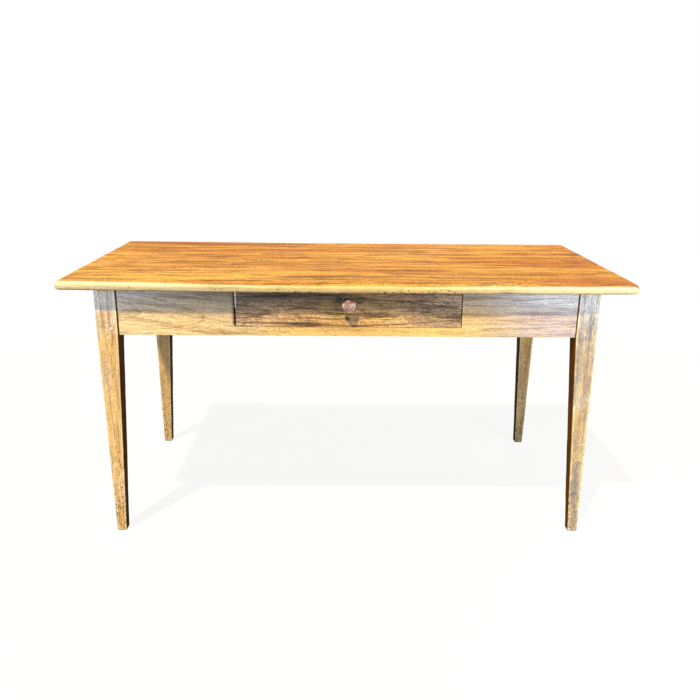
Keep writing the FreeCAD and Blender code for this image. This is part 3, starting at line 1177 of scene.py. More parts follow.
    def build(self) -> Piece:
        """Builds the board with its marks.

        Returns:
            The new piece.
        """
        shape = bmesh.new()
        x_lines = self.edge_lines(self.low.x, self.high.x, True, True)
        y_lines = self.edge_lines(self.low.y, self.high.y, self.open_front, self.open_back)
        sheets = []
        for upper in (True, False):
            rows = []
            for x, x_fall in x_lines:
                row = []
                for y, y_fall in y_lines:
                    fall = max(x_fall, y_fall)
                    z = self.high.z - fall if upper else self.low.z + self.lower_share * fall
                    row.append(shape.verts.new(self.weathered(Vector((*self.rounded(x, y), z)), upper, fall)))
                rows.append(row)
            sheets.append(rows)
            for row, following in zip(rows, rows[1:]):
                for (a, b), (d, c) in zip(zip(row, row[1:]), zip(following, following[1:])):
                    shape.faces.new((a, b, c, d))
        rims = []
        for rows in sheets:
            rim = rows[0] + [row[-1] for row in rows[1:-1]]
            rims.append(rim + rows[-1][::-1] + [row[0] for row in rows[-2:0:-1]])
        bridge(shape, rims)
        piece = piece_from(shape, self.node)
        mark_mesh(piece.data, self.cut, (self.low + self.high) / 2, self.marks)
        return piece

    def depth(self, place: Vector) -> float:
        """Distance of a place from the table's edge, in plan.

        Args:
            place: where it is measured.

        Returns:
            The distance.
        """
        depths = [self.high.x - abs(place.x)]
        if self.open_front:
            depths.append(place.y - self.low.y)
        if self.open_back:
            depths.append(self.high.y - place.y)
        return min(depths)

    def chipped(self, x: float) -> float:
        """How far the front edge is chipped at a place along it."""
        start, end = self.chip_span
        return ease(x, start, start + self.chip_run) * (1 - ease(x, end - self.chip_run, end))

    def marks(self, place: Vector, normal: Vector) -> Marks:
        """Marks at a place.

        Args:
            place: where they are read.
            normal: direction that the face looks in.

        Returns:
            The marks apart from the grain.
        """
        depth = self.depth(place)
        down = -normal.z
        below = ease(down, *BULLNOSE_UNDER)
        # The rubbed bullnose and its paler ends are partly worn wood and partly a painted highlight.
        reach = self.radius * (RUB_WIDTH + RUB_LEFT * ease(-place.x, *self.worn_span) + RUB_UNDER * below)
        edge = 1 - ease(depth / reach, *RUB_RIM)
        ends = ease(abs(place.x), *self.fade_span) * (1 - ease(down, *BULLNOSE_FADING))
        # Painted shade on the bullnose's lower half and on the underside near the edge.
        gloom = self.middle_gloom + (self.under_gloom - self.middle_gloom) * ends
        underside = ease(down, *TURNED_UNDER) * ease(depth / self.radius, *UNDERSIDE_SPAN)
        gathered = (1 - edge) * ease(ripple(place, self.fleck_waves, self.cut.start), *self.fleck_span)
        usual, chipped = self.edge_flecking
        edge_flecks = edge * ease(down, *BULLNOSE_CHIPS) * (usual + chipped * self.chipped(place.x))
        leftward, forward = self.yellow_span
        yellowed = self.yellowing * ease(-place.x, *leftward) * ease(-place.y, *forward)
        return {
            Mark.ARRIS: edge * (1 - self.under_loss * below),
            Mark.SHELTER: max(gloom * edge * ease(down, *BULLNOSE_GLOOM), underside),
            Mark.FADING: edge * ends,
            Mark.CHIPS: self.flecking * gathered + edge_flecks,
            Mark.BLOOM: yellowed * (1 - edge),
            Mark.STAIN: max(patch_strength(self.stains, self.cut, place), self.fleck_stain * gathered),
        }


@dataclass
class TableTop:
    """Boards of the top, each with its own cut."""

    front_cut: Cut = Cut(tuple(Axis), (0.05, 0.09), 0.4, (Figure(-0.555, -0.2, 0.1, 0.03, 0.022),))
    middle_cut: Cut = Cut(tuple(Axis), (-0.03, 0.07), 3.1, (Figure(-0.211, 0.12, 0.05, 0.02, 0.03),))
    back_cut: Cut = Cut(tuple(Axis), (0.09, 0.05), 5.7)

    def boards(self) -> list[TopBoard]:
        """Sets out the boards with their stains.

        Returns:
            The boards from front to back.
        """
        front_stains = (
            Patch(-0.64, -0.335, 0.14, 0.012, 0.4), Patch(0.22, -0.17, 0.09, 0.05, 0.32),
            Patch(0.02, -0.3, 0.22, 0.045, 0.3), Patch(0.35, -0.28, 0.26, 0.06, 0.3),
            Patch(0.62, -0.31, 0.12, 0.04, 0.25), Patch(0.3, -0.352, 0.4, 0.008, 0.35),
            Patch(0.15, -0.322, 0.62, 0.03, 0.3), Patch(-0.04, -0.298, 0.12, 0.006, 0.4),
            Patch(0.1, -0.218, 0.035, 0.006, 0.45), Patch(-0.09, -0.114, 0.1, 0.006, 0.4),
            Patch(-0.65, -0.072, 0.02, 0.008, 0.5), Patch(-0.535, -0.066, 0.008, 0.006, 0.5),
            Patch(-0.765, -0.078, 0.008, 0.02, 0.6),
        )
        middle_stains = (
            Patch(-0.211, 0.12, 0.014, 0.01, 0.75), Patch(-0.206, 0.05, 0.004, 0.05, 0.4),
            Patch(-0.03, -0.05, 0.1, 0.007, 0.4), Patch(0.21, 0.062, 0.05, 0.007, 0.4),
            Patch(0.59, 0.06, 0.04, 0.05, 0.35), Patch(0.7, 0.0, 0.03, 0.06, 0.35),
            Patch(-0.65, 0.2, 0.16, 0.05, 0.35),
        )
        back_stains = (Patch(-0.62, 0.3, 0.2, 0.06, 0.35),)
        return [
            TopBoard("top_board_front", self.front_cut, open_front=True, stains=front_stains),
            TopBoard("top_board_middle", self.middle_cut, stains=middle_stains),
            TopBoard("top_board_back", self.back_cut, open_back=True, stains=back_stains),
        ]

    def build(self, finish: Material) -> None:
        """Builds the boards and dresses them.

        Args:
            finish: wood of the top.
        """
        for board in self.boards():
            settle(board.build(), Body.TABLE, Slot.TOP, finish, board.node)


# Distances between the worn stretches of a leg's arrises, and the level where an arris is sharpest.
LONG_WEAR = (0.02, 0.02, 0.035)
SHORT_WEAR = (0.02, 0.02, 0.011)
SHORT_WEAR_SHARE = 0.5
LEAST_WEAR = -0.8

# Distances between the clouds in a leg's colour, and the levels between which they turn to haze.
LARGE_CLOUDS = (0.028, 0.028, 0.09)
SMALL_CLOUDS = (0.01, 0.01, 0.03)
SMALL_CLOUD_SHARE = 0.4
CLOUD_SEED = 7
CLOUD_HAZE = (0.0, 0.5)

# Bend and rub of a sole, and how thick flecks lie on a leg, with the heights over which they thin out.
SOLE_BEND = 0.3
SOLE_RUB = 0.8
LEG_FLECKS = ((0.5, (0.3, 1.0)), (0.4, (0.05, 0.3)))


@dataclass
class Leg:
    """Tapered leg, square at the apron, with rubbed arrises and a worn foot.

    Attributes:
        node: CAD node that the leg replaces.
        heart: how far its middle lies from the log's heart.
        start: shift along the log.
        foot: side of the square foot.
        arris_radius: mean radius of the long edges.
        foot_easing: eased edge round the sole.
        sole_rounding: how much rounder the long edges are there, in easings.
        step: distance between the rings of the mesh.
        arc_steps: points over each long edge.
        side_steps: points across each face.
        stains: dark marks on its faces.
        paleness: how far the whole leg has paled.
        bloom: how far painted sheen pales its top in the overhang's shade.
        bloom_tail: share of that painted sheen that reaches down to the apron's lower edge.
        haze: how far haze dulls patches of its faces.
        gloom: how far painted shade darkens its inner face across the table.
        foot_shift: how far the hand-planed leg strays along the table at its foot.
        grey: whether its wood has turned grey.
        unevenness: how far its faces stray from flat.
        face_waves: wavelengths of that.
        wear_share: how far wear widens the arrises, in radii.
        shade_span: shares of the apron's height between which the painted sheen grows full.
        tail_span: heights over the apron's lower edge between which it sets in.
        sole_wear: height over which the foot is rubbed.
    """

    node: str
    heart: Span
    start: float
    foot: float = 0.028
    arris_radius: float = 0.0026
    foot_easing: float = 0.003
    sole_rounding: float = 0.2
    step: float = 0.006
    arc_steps: int = 4
    side_steps: int = 12
    stains: tuple[Patch, ...] = ()
    paleness: float = 0.0
    bloom: float = 1.0
    bloom_tail: float = 0.4
    haze: float = 0.2
    gloom: float = 0.1
    foot_shift: float = 0.0
    grey: bool = False
    unevenness: float = 0.0006
    face_waves: Waves = (0.03, 0.03, 0.09)
    wear_share: float = 0.55
    shade_span: Span = (0.45, 0.6)
    tail_span: Span = (-0.03, 0.05)
    sole_wear: float = 0.03

    def __post_init__(self) -> None:
        """Takes the leg's place from the frame."""
        self.low, self.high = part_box(self.node)
        self.side_x = 1 if self.low.x > 0 else -1
        self.side_y = 1 if self.low.y > 0 else -1
        self.outer_y = self.high.y if self.side_y > 0 else self.low.y
        self.section = self.high.x - self.low.x
        self.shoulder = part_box("apron_front")[0].z
        self.cut = Cut((Axis.Z, Axis.X, Axis.Y), self.heart, self.start)

    def width(self, z: float) -> float:
        """Side of the square section at a height."""
        return self.foot + (self.section - self.foot) * min(1.0, z / self.shoulder)

    def outer_x(self, z: float) -> float:
        """Place of the outer face along the table at a height."""
        outer = self.high.x if self.side_x > 0 else self.low.x
        return outer + self.foot_shift * max(0.0, 1 - z / self.shoulder)

    def inward(self, place: Vector) -> Span:
        """Distances of a place from the two outer faces."""
        return abs(self.outer_x(place.z) - place.x), abs(self.outer_y - place.y)

    def outline(self, z: float, inset: float) -> list[Vector]:
        """Points of one ring.

        Args:
            z: height of the ring.
            inset: how far the ring is drawn in.

        Returns:
            The points in order.
        """
        width = self.width(z) - inset

        def on_arc(corner: Span, radius: float, turn: float) -> Span:
            """Point of a corner's arc at a turn in degrees, as distances from the outer faces."""
            a, b = (edge + radius if edge < width else edge - radius for edge in corner)
            angle = math.radians(turn)
            return a + radius * math.cos(angle), b + radius * math.sin(angle)

        points: list[Span] = []
        corners = ((inset, inset), (width, inset), (width, width), (inset, width))
        turns = (180, 270, 0, 90)
        for index, (corner, turn) in enumerate(zip(corners, turns)):
            spot = Vector((corner[0] * self.side_x, corner[1] * self.side_y, z))
            long, short = (ripple(spot, waves, self.start) for waves in (LONG_WEAR, SHORT_WEAR))
            wear = max(LEAST_WEAR, long + SHORT_WEAR_SHARE * short)
            radius = self.arris_radius * (1 + self.wear_share * wear) + self.sole_rounding * inset
            for step in range(self.arc_steps + 1):
                points.append(on_arc(corner, radius, turn + 90 * step / self.arc_steps))
            last = points[-1]
            target = on_arc(corners[(index + 1) % 4], radius, turns[(index + 1) % 4])
            for share in (step / self.side_steps for step in range(1, self.side_steps)):
                points.append(tuple(start + (end - start) * share for start, end in zip(last, target)))
        outer_x = self.outer_x(z)
        return [Vector((outer_x - self.side_x * a, self.outer_y - self.side_y * b, z)) for a, b in points]

    def build(self) -> Piece:
        """Builds the leg with its marks.

        Returns:
            The new piece.
        """
        shape = bmesh.new()
        sole = self.foot_easing
        heights = [(0.0, sole), (SOLE_BEND * sole, SOLE_BEND * sole), (sole, 0.0)]
        heights += [(z, 0.0) for z in spaced((2 * sole, self.shoulder, self.high.z), self.step)]
        rings = [[shape.verts.new(point) for point in self.outline(z, inset)] for z, inset in heights]
        bridge(shape, rings)
        shape.faces.new(rings[0])
        shape.faces.new(rings[-1])
        shape.normal_update()
        for vertex in shape.verts:
            if 0 < vertex.co.z < self.high.z:
                wave = self.unevenness * ripple(vertex.co, self.face_waves, self.start)
                vertex.co += vertex.normal * wave
        piece = piece_from(shape, self.node)
        mark_mesh(piece.data, self.cut, (self.low + self.high) / 2, self.marks)
        return piece

    def marks(self, place: Vector, normal: Vector) -> Marks:
        """Marks at a place.

        Args:
            place: where they are read.
            normal: direction that the face looks in.

        Returns:
            The marks apart from the grain.
        """
        width = self.width(place.z)
        edge = max(min(distance, width - distance) for distance in self.inward(place))
        # Faces turned inwards, aside and across the table, get painted shade.
        aside = ease(-normal.x * self.side_x, *TURNED_AWAY)
        across = ease(-normal.y * self.side_y, *TURNED_AWAY)
        front = ease(-normal.y, *TURNED_FRONT)
        cloud = ripple(place, LARGE_CLOUDS, self.start + CLOUD_SEED)
        cloud += SMALL_CLOUD_SHARE * ripple(place, SMALL_CLOUDS, self.start)
        over_shoulder = place.z - self.shoulder
        # Painted sheen on the front in the overhang's shade, with a weaker tail below it.
        upper = ease(over_shoulder / (self.high.z - self.shoulder), *self.shade_span)
        tail = self.bloom_tail * ease(over_shoulder, *self.tail_span)
        hazed = self.bloom * front * max(upper, tail) + self.haze * ease(cloud, *CLOUD_HAZE)
        rise = place.z / self.shoulder
        return {
            Mark.ARRIS: max(1 - edge / ARRIS_REACH, SOLE_RUB - place.z / self.sole_wear),
            Mark.SHELTER: max(aside, self.gloom * across),
            Mark.FADING: self.paleness * (1 + cloud),
            Mark.BLOOM: hazed * (1 - aside) * (1 - across),
            Mark.CHIPS: sum(thickness * (1 - ease(rise, *span)) for thickness, span in LEG_FLECKS),
            Mark.STAIN: patch_strength(self.stains, self.cut, place),
        }


# Heights between which the painted sheen in an apron's shade grows, and how far clouds sway its paleness and
# its painted sheen.
APRON_SHADE = (0.4, 0.7)
CLOUD_PALENESS = 0.5
CLOUD_SHEEN = 0.6

# Spans along the front apron in half lengths of its opening, the painted sheen lost beside the drawer, and
# the turn of the cheeks that get painted shade.
LEFT_END = (0.4, 1.1)
RIGHT_END = (0.8, 1.9)
RIGHT_GLOOM = (0.6, 1.0)
HAZE_LOSS = 0.7
CHEEK_TURN = (0.75, 0.97)


@dataclass
class Apron:
    """Apron board with stub tenons behind its shoulders.

    Attributes:
        node: CAD node that the apron replaces.
        cut: how the board was cut from its log.
        gap_low: how far the joint at its lower end has opened.
        gap_high: how far the joint at its upper end has opened.
        bloom: how far painted sheen pales it in the overhang's shade.
        paleness: how far the wood has paled.
        step: distance between the lines of the mesh.
        shoulder_depth: thickness of the board in front of and behind its tenons.
        tenon: length of the stub tenons.
        cloud_waves: distance between clouds in its colour.
        inner_gloom: how far painted shade darkens its inner face.
    """

    node: str
    cut: Cut
    gap_low: float = 0.0006
    gap_high: float = 0.0006
    bloom: float = 0.12
    paleness: float = 0.3
    step: float = 0.008
    shoulder_depth: float = 0.006
    tenon: float = 0.012
    cloud_waves: Waves = (0.2, 0.2, 0.035)
    inner_gloom: float = 0.8

    def __post_init__(self) -> None:
        """Takes the board's place from the frame."""
        self.low, self.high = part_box(self.node)
        self.along = self.cut.axes[0].value
        self.through = self.cut.axes[2].value
        self.side = 1 if self.low[self.through] > 0 else -1
        self.leg_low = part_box("leg_front_left")[1][self.along]
        self.leg_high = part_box("leg_back_right")[0][self.along]
        self.shoulders = (self.leg_low + self.gap_low, self.leg_high - self.gap_high)
        self.faces = (self.low[self.through], self.high[self.through])
        self.cheeks = (self.faces[0] + self.shoulder_depth, self.faces[1] - self.shoulder_depth)

    def filled(self, place: Vector) -> bool:
        """Whether the cell around a place is wood: the board, or a tenon past a shoulder."""
        if self.shoulders[0] < place[self.along] < self.shoulders[1]:
            return True
        return self.cheeks[0] < place[self.through] < self.cheeks[1]

    def stops(self) -> list[list[float]]:
        """Places that get a line of the mesh.

        Returns:
            The places on each axis, in rising order.
        """
        stops = [[], [], [self.low.z, self.high.z]]
        stops[self.along] = [self.leg_low - self.tenon, *self.shoulders, self.leg_high + self.tenon]
        stops[self.through] = [self.faces[0], *self.cheeks, self.faces[1]]
        return stops

    def marks(self, place: Vector, normal: Vector) -> Marks:
        """Marks at a place.

        Args:
            place: where they are read.
            normal: direction that the face looks in.

        Returns:
            The marks apart from the grain and the arrises.
        """
        # The inner face gets painted shade.
        inside = ease(-normal[self.through] * self.side, *TURNED)
        cloud = ripple(place, self.cloud_waves, self.cut.start)
        # Painted sheen in the upper band, where the overhang's shadow falls.
        upper = ease((place.z - self.low.z) / (self.high.z - self.low.z), *APRON_SHADE)
        return {
            Mark.SHELTER: self.inner_gloom * inside,
            Mark.FADING: self.paleness * (1 + CLOUD_PALENESS * cloud),
            Mark.BLOOM: self.bloom * upper * (1 + CLOUD_SHEEN * cloud) * (1 - inside),
        }

    def timber(self) -> Timber:
        """The board as timber."""
        lines = tuple(spaced(stops, self.step) for stops in self.stops())
        return Timber(self.node, lines, self.cut, self.filled, self.marks)


@dataclass
class DrawerApron(Apron):
    """Front apron, cut out for the drawer.

    Attributes:
        end_paleness: how far its left and right ends have paled as well.
        play: how far the opening's ends are worn back.
        end_sheen: how far painted sheen pales the top of its left and right ends as well.
        left_pale_tint: how far a pale tint covers all of its left end.
        leg_gloom: how far painted shade darkens its top beside the left and the right leg.
        drawer_gloom: how much more painted shade there is beside the drawer, left and right.
        gloom_span: heights between which the painted shade and the painted sheen grow.
        right_gloom: how much darker its right end is below the overhang's shadow.
        cheek_reach: distances over which the painted shade on the opening's left cheek ends.
    """

    end_paleness: Span = (0.0, 0.95)
    play: float = 0.0012
    end_sheen: Span = (0.6, 1.0)
    left_pale_tint: float = 0.18
    leg_gloom: Span = (0.25, 0.0)
    drawer_gloom: Span = (0.48, 0.48)
    gloom_span: Span = (0.658, 0.735)
    right_gloom: float = 0.12
    cheek_reach: Span = (0.0004, 0.0011)

    def __post_init__(self) -> None:
        """Takes the opening from the frame as well."""
        super().__post_init__()
        guides = [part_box("drawer_guide_left"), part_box("drawer_guide_right")]
        self.opening = (guides[0][1].x - self.play, guides[1][0].x + self.play)
        self.rail_top = guides[0][0].z

    def filled(self, place: Vector) -> bool:
        """Whether the cell around a place is wood, below or beside the drawer."""
        if self.opening[0] < place.x < self.opening[1] and place.z > self.rail_top:
            return False
        return super().filled(place)

    def marks(self, place: Vector, normal: Vector) -> Marks:
        """Marks at a place.

        Args:
            place: where they are read.
            normal: direction that the face looks in.

        Returns:
            The marks apart from the grain and the arrises.
        """
        marks = dict(super().marks(place, normal))
        right = ease(place.x, *(share * self.opening[1] for share in RIGHT_END))
        left = ease(-place.x, *(-share * self.opening[0] for share in LEFT_END))
        marks[Mark.FADING] += self.end_paleness[0] * left + self.end_paleness[1] * right
        side = 1 if place.x > 0 else 0
        near = 1 - ease(abs(place.x), self.opening[1], self.leg_high)
        upper = ease(place.z, *self.gloom_span) * ease(-normal.y, *TURNED)
        # A pale tint over all the left end, and painted sheen on the tops of both ends, less beside the
        # drawer.
        marks[Mark.BLOOM] += self.left_pale_tint * left + self.end_sheen[side] * upper * (1 - HAZE_LOSS * near)
        # Painted shade in the overhang's shadow beside the legs, and more beside the drawer.
        gloom = upper * (self.leg_gloom[side] + self.drawer_gloom[side] * near)
        # The right end is also darker below the shadow.
        rightward = ease(place.x, *(share * self.opening[1] for share in RIGHT_GLOOM))
        gloom += self.right_gloom * (1 - upper) * rightward
        # The opening's cheeks get painted shade.
        cheek = ease(-normal.x, *CHEEK_TURN) + 1 - ease(abs(place.x - self.opening[0]), *self.cheek_reach)
        if place.z > self.rail_top:
            gloom = max(gloom, cheek)
        marks[Mark.SHELTER] = max(marks[Mark.SHELTER], gloom)
        return marks

    def stops(self) -> list[list[float]]:
        """Places that get a line of the mesh.

        Returns:
            The places on each axis, in rising order.
        """
        stops = super().stops()
        stops[0] = stops[0][:2] + list(self.opening) + stops[0][2:]
        stops[2] = [self.low.z, self.rail_top, self.high.z]
        return stops


@dataclass
class Underframe:
    """Legs and aprons.

    Attributes:
        tenon_gap: how far the joint at the front left leg has opened.
        left_leg_marks: cracks and chips round the front left leg's lower peg, and a dull place beside it.
        grey_patches: dulled places on the front right leg.
        back_patches: dulled places on the back left leg.
    """

    tenon_gap: float = 0.0036
    left_leg_marks: tuple[Patch, ...] = (
        Patch(0.6, -0.649, 0.026, 0.0028, 0.75), Patch(0.63, -0.6505, 0.006, 0.004, 0.6),
        Patch(0.655, -0.6515, 0.02, 0.0025, 0.35), Patch(0.645, -0.684, 0.035, 0.024, 0.25),
        Patch(0.5, -0.675, 0.06, 0.03, 0.28),
    )
    grey_patches: tuple[Patch, ...] = (
        Patch(0.638, 0.67, 0.05, 0.022, 0.75), Patch(0.6, 0.644, 0.1, 0.009, 0.75),
        Patch(0.5, 0.645, 0.12, 0.007, 0.7), Patch(0.46, 0.672, 0.12, 0.01, 0.5),
        Patch(0.16, 0.672, 0.07, 0.012, 0.8), Patch(0.53, 0.67, 0.09, 0.03, 0.34),
    )
    back_patches: tuple[Patch, ...] = (Patch(0.2, -0.68, 0.1, 0.04, 0.15),)

    def legs(self) -> list[Leg]:
        """Sets out the four legs.

        Returns:
            The legs.
        """
        return [
            Leg("leg_front_left", (0.06, 0.03), 11.3, stains=self.left_leg_marks, foot_shift=0.008),
            Leg("leg_front_right", (0.05, -0.04), 12.9, stains=self.grey_patches, foot_shift=0.004,
                grey=True),
            Leg("leg_back_left", (0.07, 0.04), 14.2, stains=self.back_patches, paleness=0.15, haze=0.1),
            Leg("leg_back_right", (0.04, 0.06), 15.8, paleness=0.4, haze=0.1, gloom=0.18, foot_shift=-0.005),
        ]

    def aprons(self) -> list[Apron]:
        """Sets out the four aprons.

        Returns:
            The aprons.
        """
        long_axes = (Axis.X, Axis.Z, Axis.Y)
        short_axes = (Axis.Y, Axis.Z, Axis.X)
        front_cut = Cut(long_axes, (0.058, 0.158), 21.0, slope=0.065, lean=0.098, stray=(-1.0, -0.15))
        return [
            DrawerApron("apron_front", front_cut, self.tenon_gap, 0.002, paleness=0.0),
            Apron("apron_back", Cut(long_axes, (-0.02, 0.05), 23.0)),
            Apron("apron_left", Cut(short_axes, (0.015, 0.05), 25.0)),
            Apron("apron_right", Cut(short_axes, (-0.01, 0.06), 27.0)),
        ]

    def build(self, leg_finish: Material, grey_finish: Material, apron_finish: Material) -> None:
        """Builds the legs and aprons and dresses them.

        Args:
            leg_finish: wood of the legs.
            grey_finish: wood of a leg that has turned grey.
            apron_finish: wood of the aprons.
        """
        for leg in self.legs():
            settle(leg.build(), Body.TABLE, Slot.FRAME, grey_finish if leg.grey else leg_finish, leg.node)
        for apron in self.aprons():
            settle(apron.timber().build(), Body.TABLE, Slot.FRAME, apron_finish, apron.node)


# Painted shade on the drawer front's top and how far it eases to the right, its flecks, the painted sheen at
# its ends and the painted shade on its inside.
FRONT_SHADE = (0.36, 0.72)
RIGHT_RELIEF = 0.45
FLECK_GATHERING = (0.1, 0.5)
HAZED_END = (0.1, 1.0)
INSIDE_GLOOM = 0.5

# Unevenness of the knob, its rubbed rim, the painted shade on its upper side and neck, and the stain on its
# head.
KNOB_WAVES = (0.02, 0.02, 0.02)
KNOB_SEED = 4.0
RIM_OUT = (0.5, 0.62)
RIM_REACH = (0.55, 0.8)
RIM_RUB = 0.9
ABOVE_TURN = (0.1, 0.55)
ABOVE_GLOOM = 0.8
NECK_SPAN = (0.0, 0.5)
NECK_GLOOM = 0.9
HEAD_SPAN = (0.1, 0.3)
HEAD_STAIN = 0.3


@dataclass
class Drawer:
    """Drawer front and knob.

    Attributes:
        tail_proud: how far the sides' dovetails stand out of the front's ends.
        front_step: distance between the lines of the front's mesh.
        turns: points round the knob.
        base: radius and thickness of the knob's base, in radii of its head and in its projection.
        neck: radius and place of the neck, likewise.
        flare: radius and place of the head's start, likewise.
        rim_share: where the dome starts, in the projection.
        neck_steps: steps over the neck's hollow.
        dome_steps: steps over the dome.
        spigot_share: radius of the spigot's stub, in radii of the head.
        spigot_depth: how deep the stub goes into the front.
        knob_unevenness: how far the knob strays from round, as a share of its radius.
        gloom: how far painted shade darkens the top of the front, where the overhang's shadow falls.
        end_sheen: how far painted sheen pales the left and the right end of the front.
        highlight_reach: distances over which the painted highlight along the left arris ends.
        fleck_stain: how far the front has darkened where flecks gather.
        flecking: how thick flecks lie there.
        fleck_waves: distances between such places.
        golden: places where the front is rubbed to golden wood.
        dark_patches: places where the front is darker; the one at the knob's upper left is painted shadow.
    """

    tail_proud: float = 0.0003
    front_step: float = 0.004
    turns: int = 48
    base: Span = (0.605, 0.09)
    neck: Span = (0.447, 0.3)
    flare: Span = (1.0, 0.5)
    rim_share: float = 0.58
    neck_steps: int = 16
    dome_steps: int = 10
    spigot_share: float = 0.3
    spigot_depth: float = 0.004
    knob_unevenness: float = 0.008
    gloom: float = 0.82
    end_sheen: Span = (0.2, 0.25)
    highlight_reach: Span = (-0.001, 0.0022)
    fleck_stain: float = 0.4
    flecking: float = 0.7
    fleck_waves: Waves = (0.016, 0.009, 0.007)
    golden: tuple[Patch, ...] = (
        Patch(-0.03, 0.661, 0.035, 0.009, 0.8), Patch(-0.05, 0.692, 0.02, 0.012, 0.5),
        Patch(0.12, 0.652, 0.06, 0.012, 0.45), Patch(-0.12, 0.645, 0.05, 0.008, 0.4),
        Patch(0.25, 0.655, 0.04, 0.012, 0.5), Patch(-0.27, 0.685, 0.05, 0.009, 0.35),
    )
    dark_patches: tuple[Patch, ...] = (
        Patch(-0.2, 0.715, 0.1, 0.012, 0.4), Patch(0.2, 0.69, 0.1, 0.01, 0.5),
        # The small patch at the knob's upper left is painted shadow.
        Patch(-0.12, 0.69, 0.05, 0.012, 0.4), Patch(-0.026, 0.707, 0.012, 0.011, 0.9),
        Patch(-0.275, 0.655, 0.05, 0.022, 0.4),
    )

    def front(self) -> Piece:
        """Builds the drawer's front board.

        Returns:
            The new piece.
        """
        low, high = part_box("drawer_front")
        stops = ([low.x + self.tail_proud, high.x - self.tail_proud], [low.y, high.y], [low.z, high.z])
        lines = tuple(spaced(pair, self.front_step) for pair in stops)
        cut = Cut((Axis.X, Axis.Z, Axis.Y), (0.01, 0.1354), 31.0, slope=0.02)

        def marks(place: Vector, normal: Vector) -> Marks:
            """Marks at a place with a normal, apart from the grain and the arrises."""
            inside = ease(normal.y, *TURNED)
            upper = ease((place.z - low.z) / (high.z - low.z), *FRONT_SHADE)
            # Painted shade in the overhang's shadow on the top of the front, easing to the right.
            gloom = self.gloom * upper * (1 - RIGHT_RELIEF * ease(place.x, low.x / 3, high.x))
            # A painted highlight along the left arris, which also takes the painted shade away there.
            rubbed = 1 - ease(place.x - low.x, *self.highlight_reach)
            gathered = ease(ripple(place, self.fleck_waves, cut.start), *FLECK_GATHERING)
            # Painted sheen at the two ends.
            ends = zip(self.end_sheen, (low.x, high.x))
            hazed = max(share * ease(place.x / end, *HAZED_END) for share, end in ends)
            dark = max(patch_strength(self.dark_patches, cut, place), self.fleck_stain * gathered)
            # The inside face gets painted shade.
            return {
                Mark.SHELTER: max(gloom * (1 - rubbed), INSIDE_GLOOM * inside),
                Mark.FADING: patch_strength(self.golden, cut, place) * (1 - inside),
                Mark.BLOOM: max(hazed, rubbed) * (1 - inside),
                Mark.STAIN: dark * (1 - inside),
                Mark.CHIPS: self.flecking * gathered,
            }

        return Timber("drawer_front", lines, cut, marks=marks).build()

    def profile(self, radius: float, projection: float) -> list[Span]:
        """Half section of the knob outside the drawer front.

        Args:
            radius: radius of its head.
            projection: how far it stands out.

        Returns:
            Pairs of radius and distance from the drawer front.
        """
        shares = (self.base, self.neck, self.flare)
        base, neck, flare = ((across * radius, out * projection) for across, out in shares)
        points = [(base[0], 0.0)]
        points += arc_through(base, neck, flare, self.neck_steps)
        rise = projection - self.rim_share * projection
        dome = (radius * radius + rise * rise) / (2 * rise)
        sweep = math.asin(radius / dome)
        for step in range(self.dome_steps):
            angle = sweep * (1 - step / self.dome_steps)
            points.append((dome * math.sin(angle), projection - dome * (1 - math.cos(angle))))
        return points

    def knob(self) -> Piece:
        """Builds the turned knob.

        Returns:
            The new piece.
        """
        low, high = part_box("drawer_knob")
        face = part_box("drawer_front")[0].y
        radius = (high.x - low.x) / 2
        middle = (low + high) / 2
        stub = (self.spigot_share * radius, -self.spigot_depth)
        section = [stub] + self.profile(radius, face - low.y)
        shape = bmesh.new()
        rings = []
        for reach, out in section:
            ring = []
            for turn in range(self.turns):
                angle = math.tau * turn / self.turns
                place = Vector((reach * math.cos(angle), -out, reach * math.sin(angle)))
                place *= 1 + self.knob_unevenness * ripple(place, KNOB_WAVES, KNOB_SEED)
                ring.append(shape.verts.new((middle.x + place.x, face + place.y, middle.z + place.z)))
            rings.append(ring)
        bridge(shape, rings)
        shape.faces.new(rings[0])
        crown = shape.verts.new((middle.x, low.y, middle.z))
        for index in range(self.turns):
            shape.faces.new((rings[-1][index - 1], rings[-1][index], crown))
        piece = piece_from(shape, "drawer_knob")
        cut = Cut((Axis.Y, Axis.X, Axis.Z), (0.012, 0.01), 41.0)

        def marks(place: Vector, normal: Vector) -> Marks:
            """Marks at a place with a normal, apart from the grain."""
            out = (face - place.y) / (face - low.y)
            reach = math.hypot(place.x - middle.x, place.z - middle.z) / radius
            rim = ease(out, *RIM_OUT) * ease(reach, *RIM_REACH)
            above = ease(normal.z, *ABOVE_TURN)
            # Painted shade on the upper side and in the neck, where the rubbed rim stays dark.
            return {
                Mark.ARRIS: RIM_RUB * rim * (1 - above),
                Mark.SHELTER: max(NECK_GLOOM * (1 - ease(out, *NECK_SPAN)), ABOVE_GLOOM * above),
                Mark.STAIN: HEAD_STAIN * (1 - ease(reach, *HEAD_SPAN)),
            }

        mark_mesh(piece.data, cut, middle, marks)
        return piece

    def build(self, front_finish: Material, knob_finish: Material) -> None:
        """Builds the front and the knob and dresses them.

        Args:
            front_finish: wood of the front.
            knob_finish: wood of the knob.
        """
        settle(self.front(), Body.DRAWER, Slot.DRAWER_FRONT, front_finish, "drawer_front")
        settle(self.knob(), Body.DRAWER, Slot.KNOB, knob_finish, "drawer_knob")


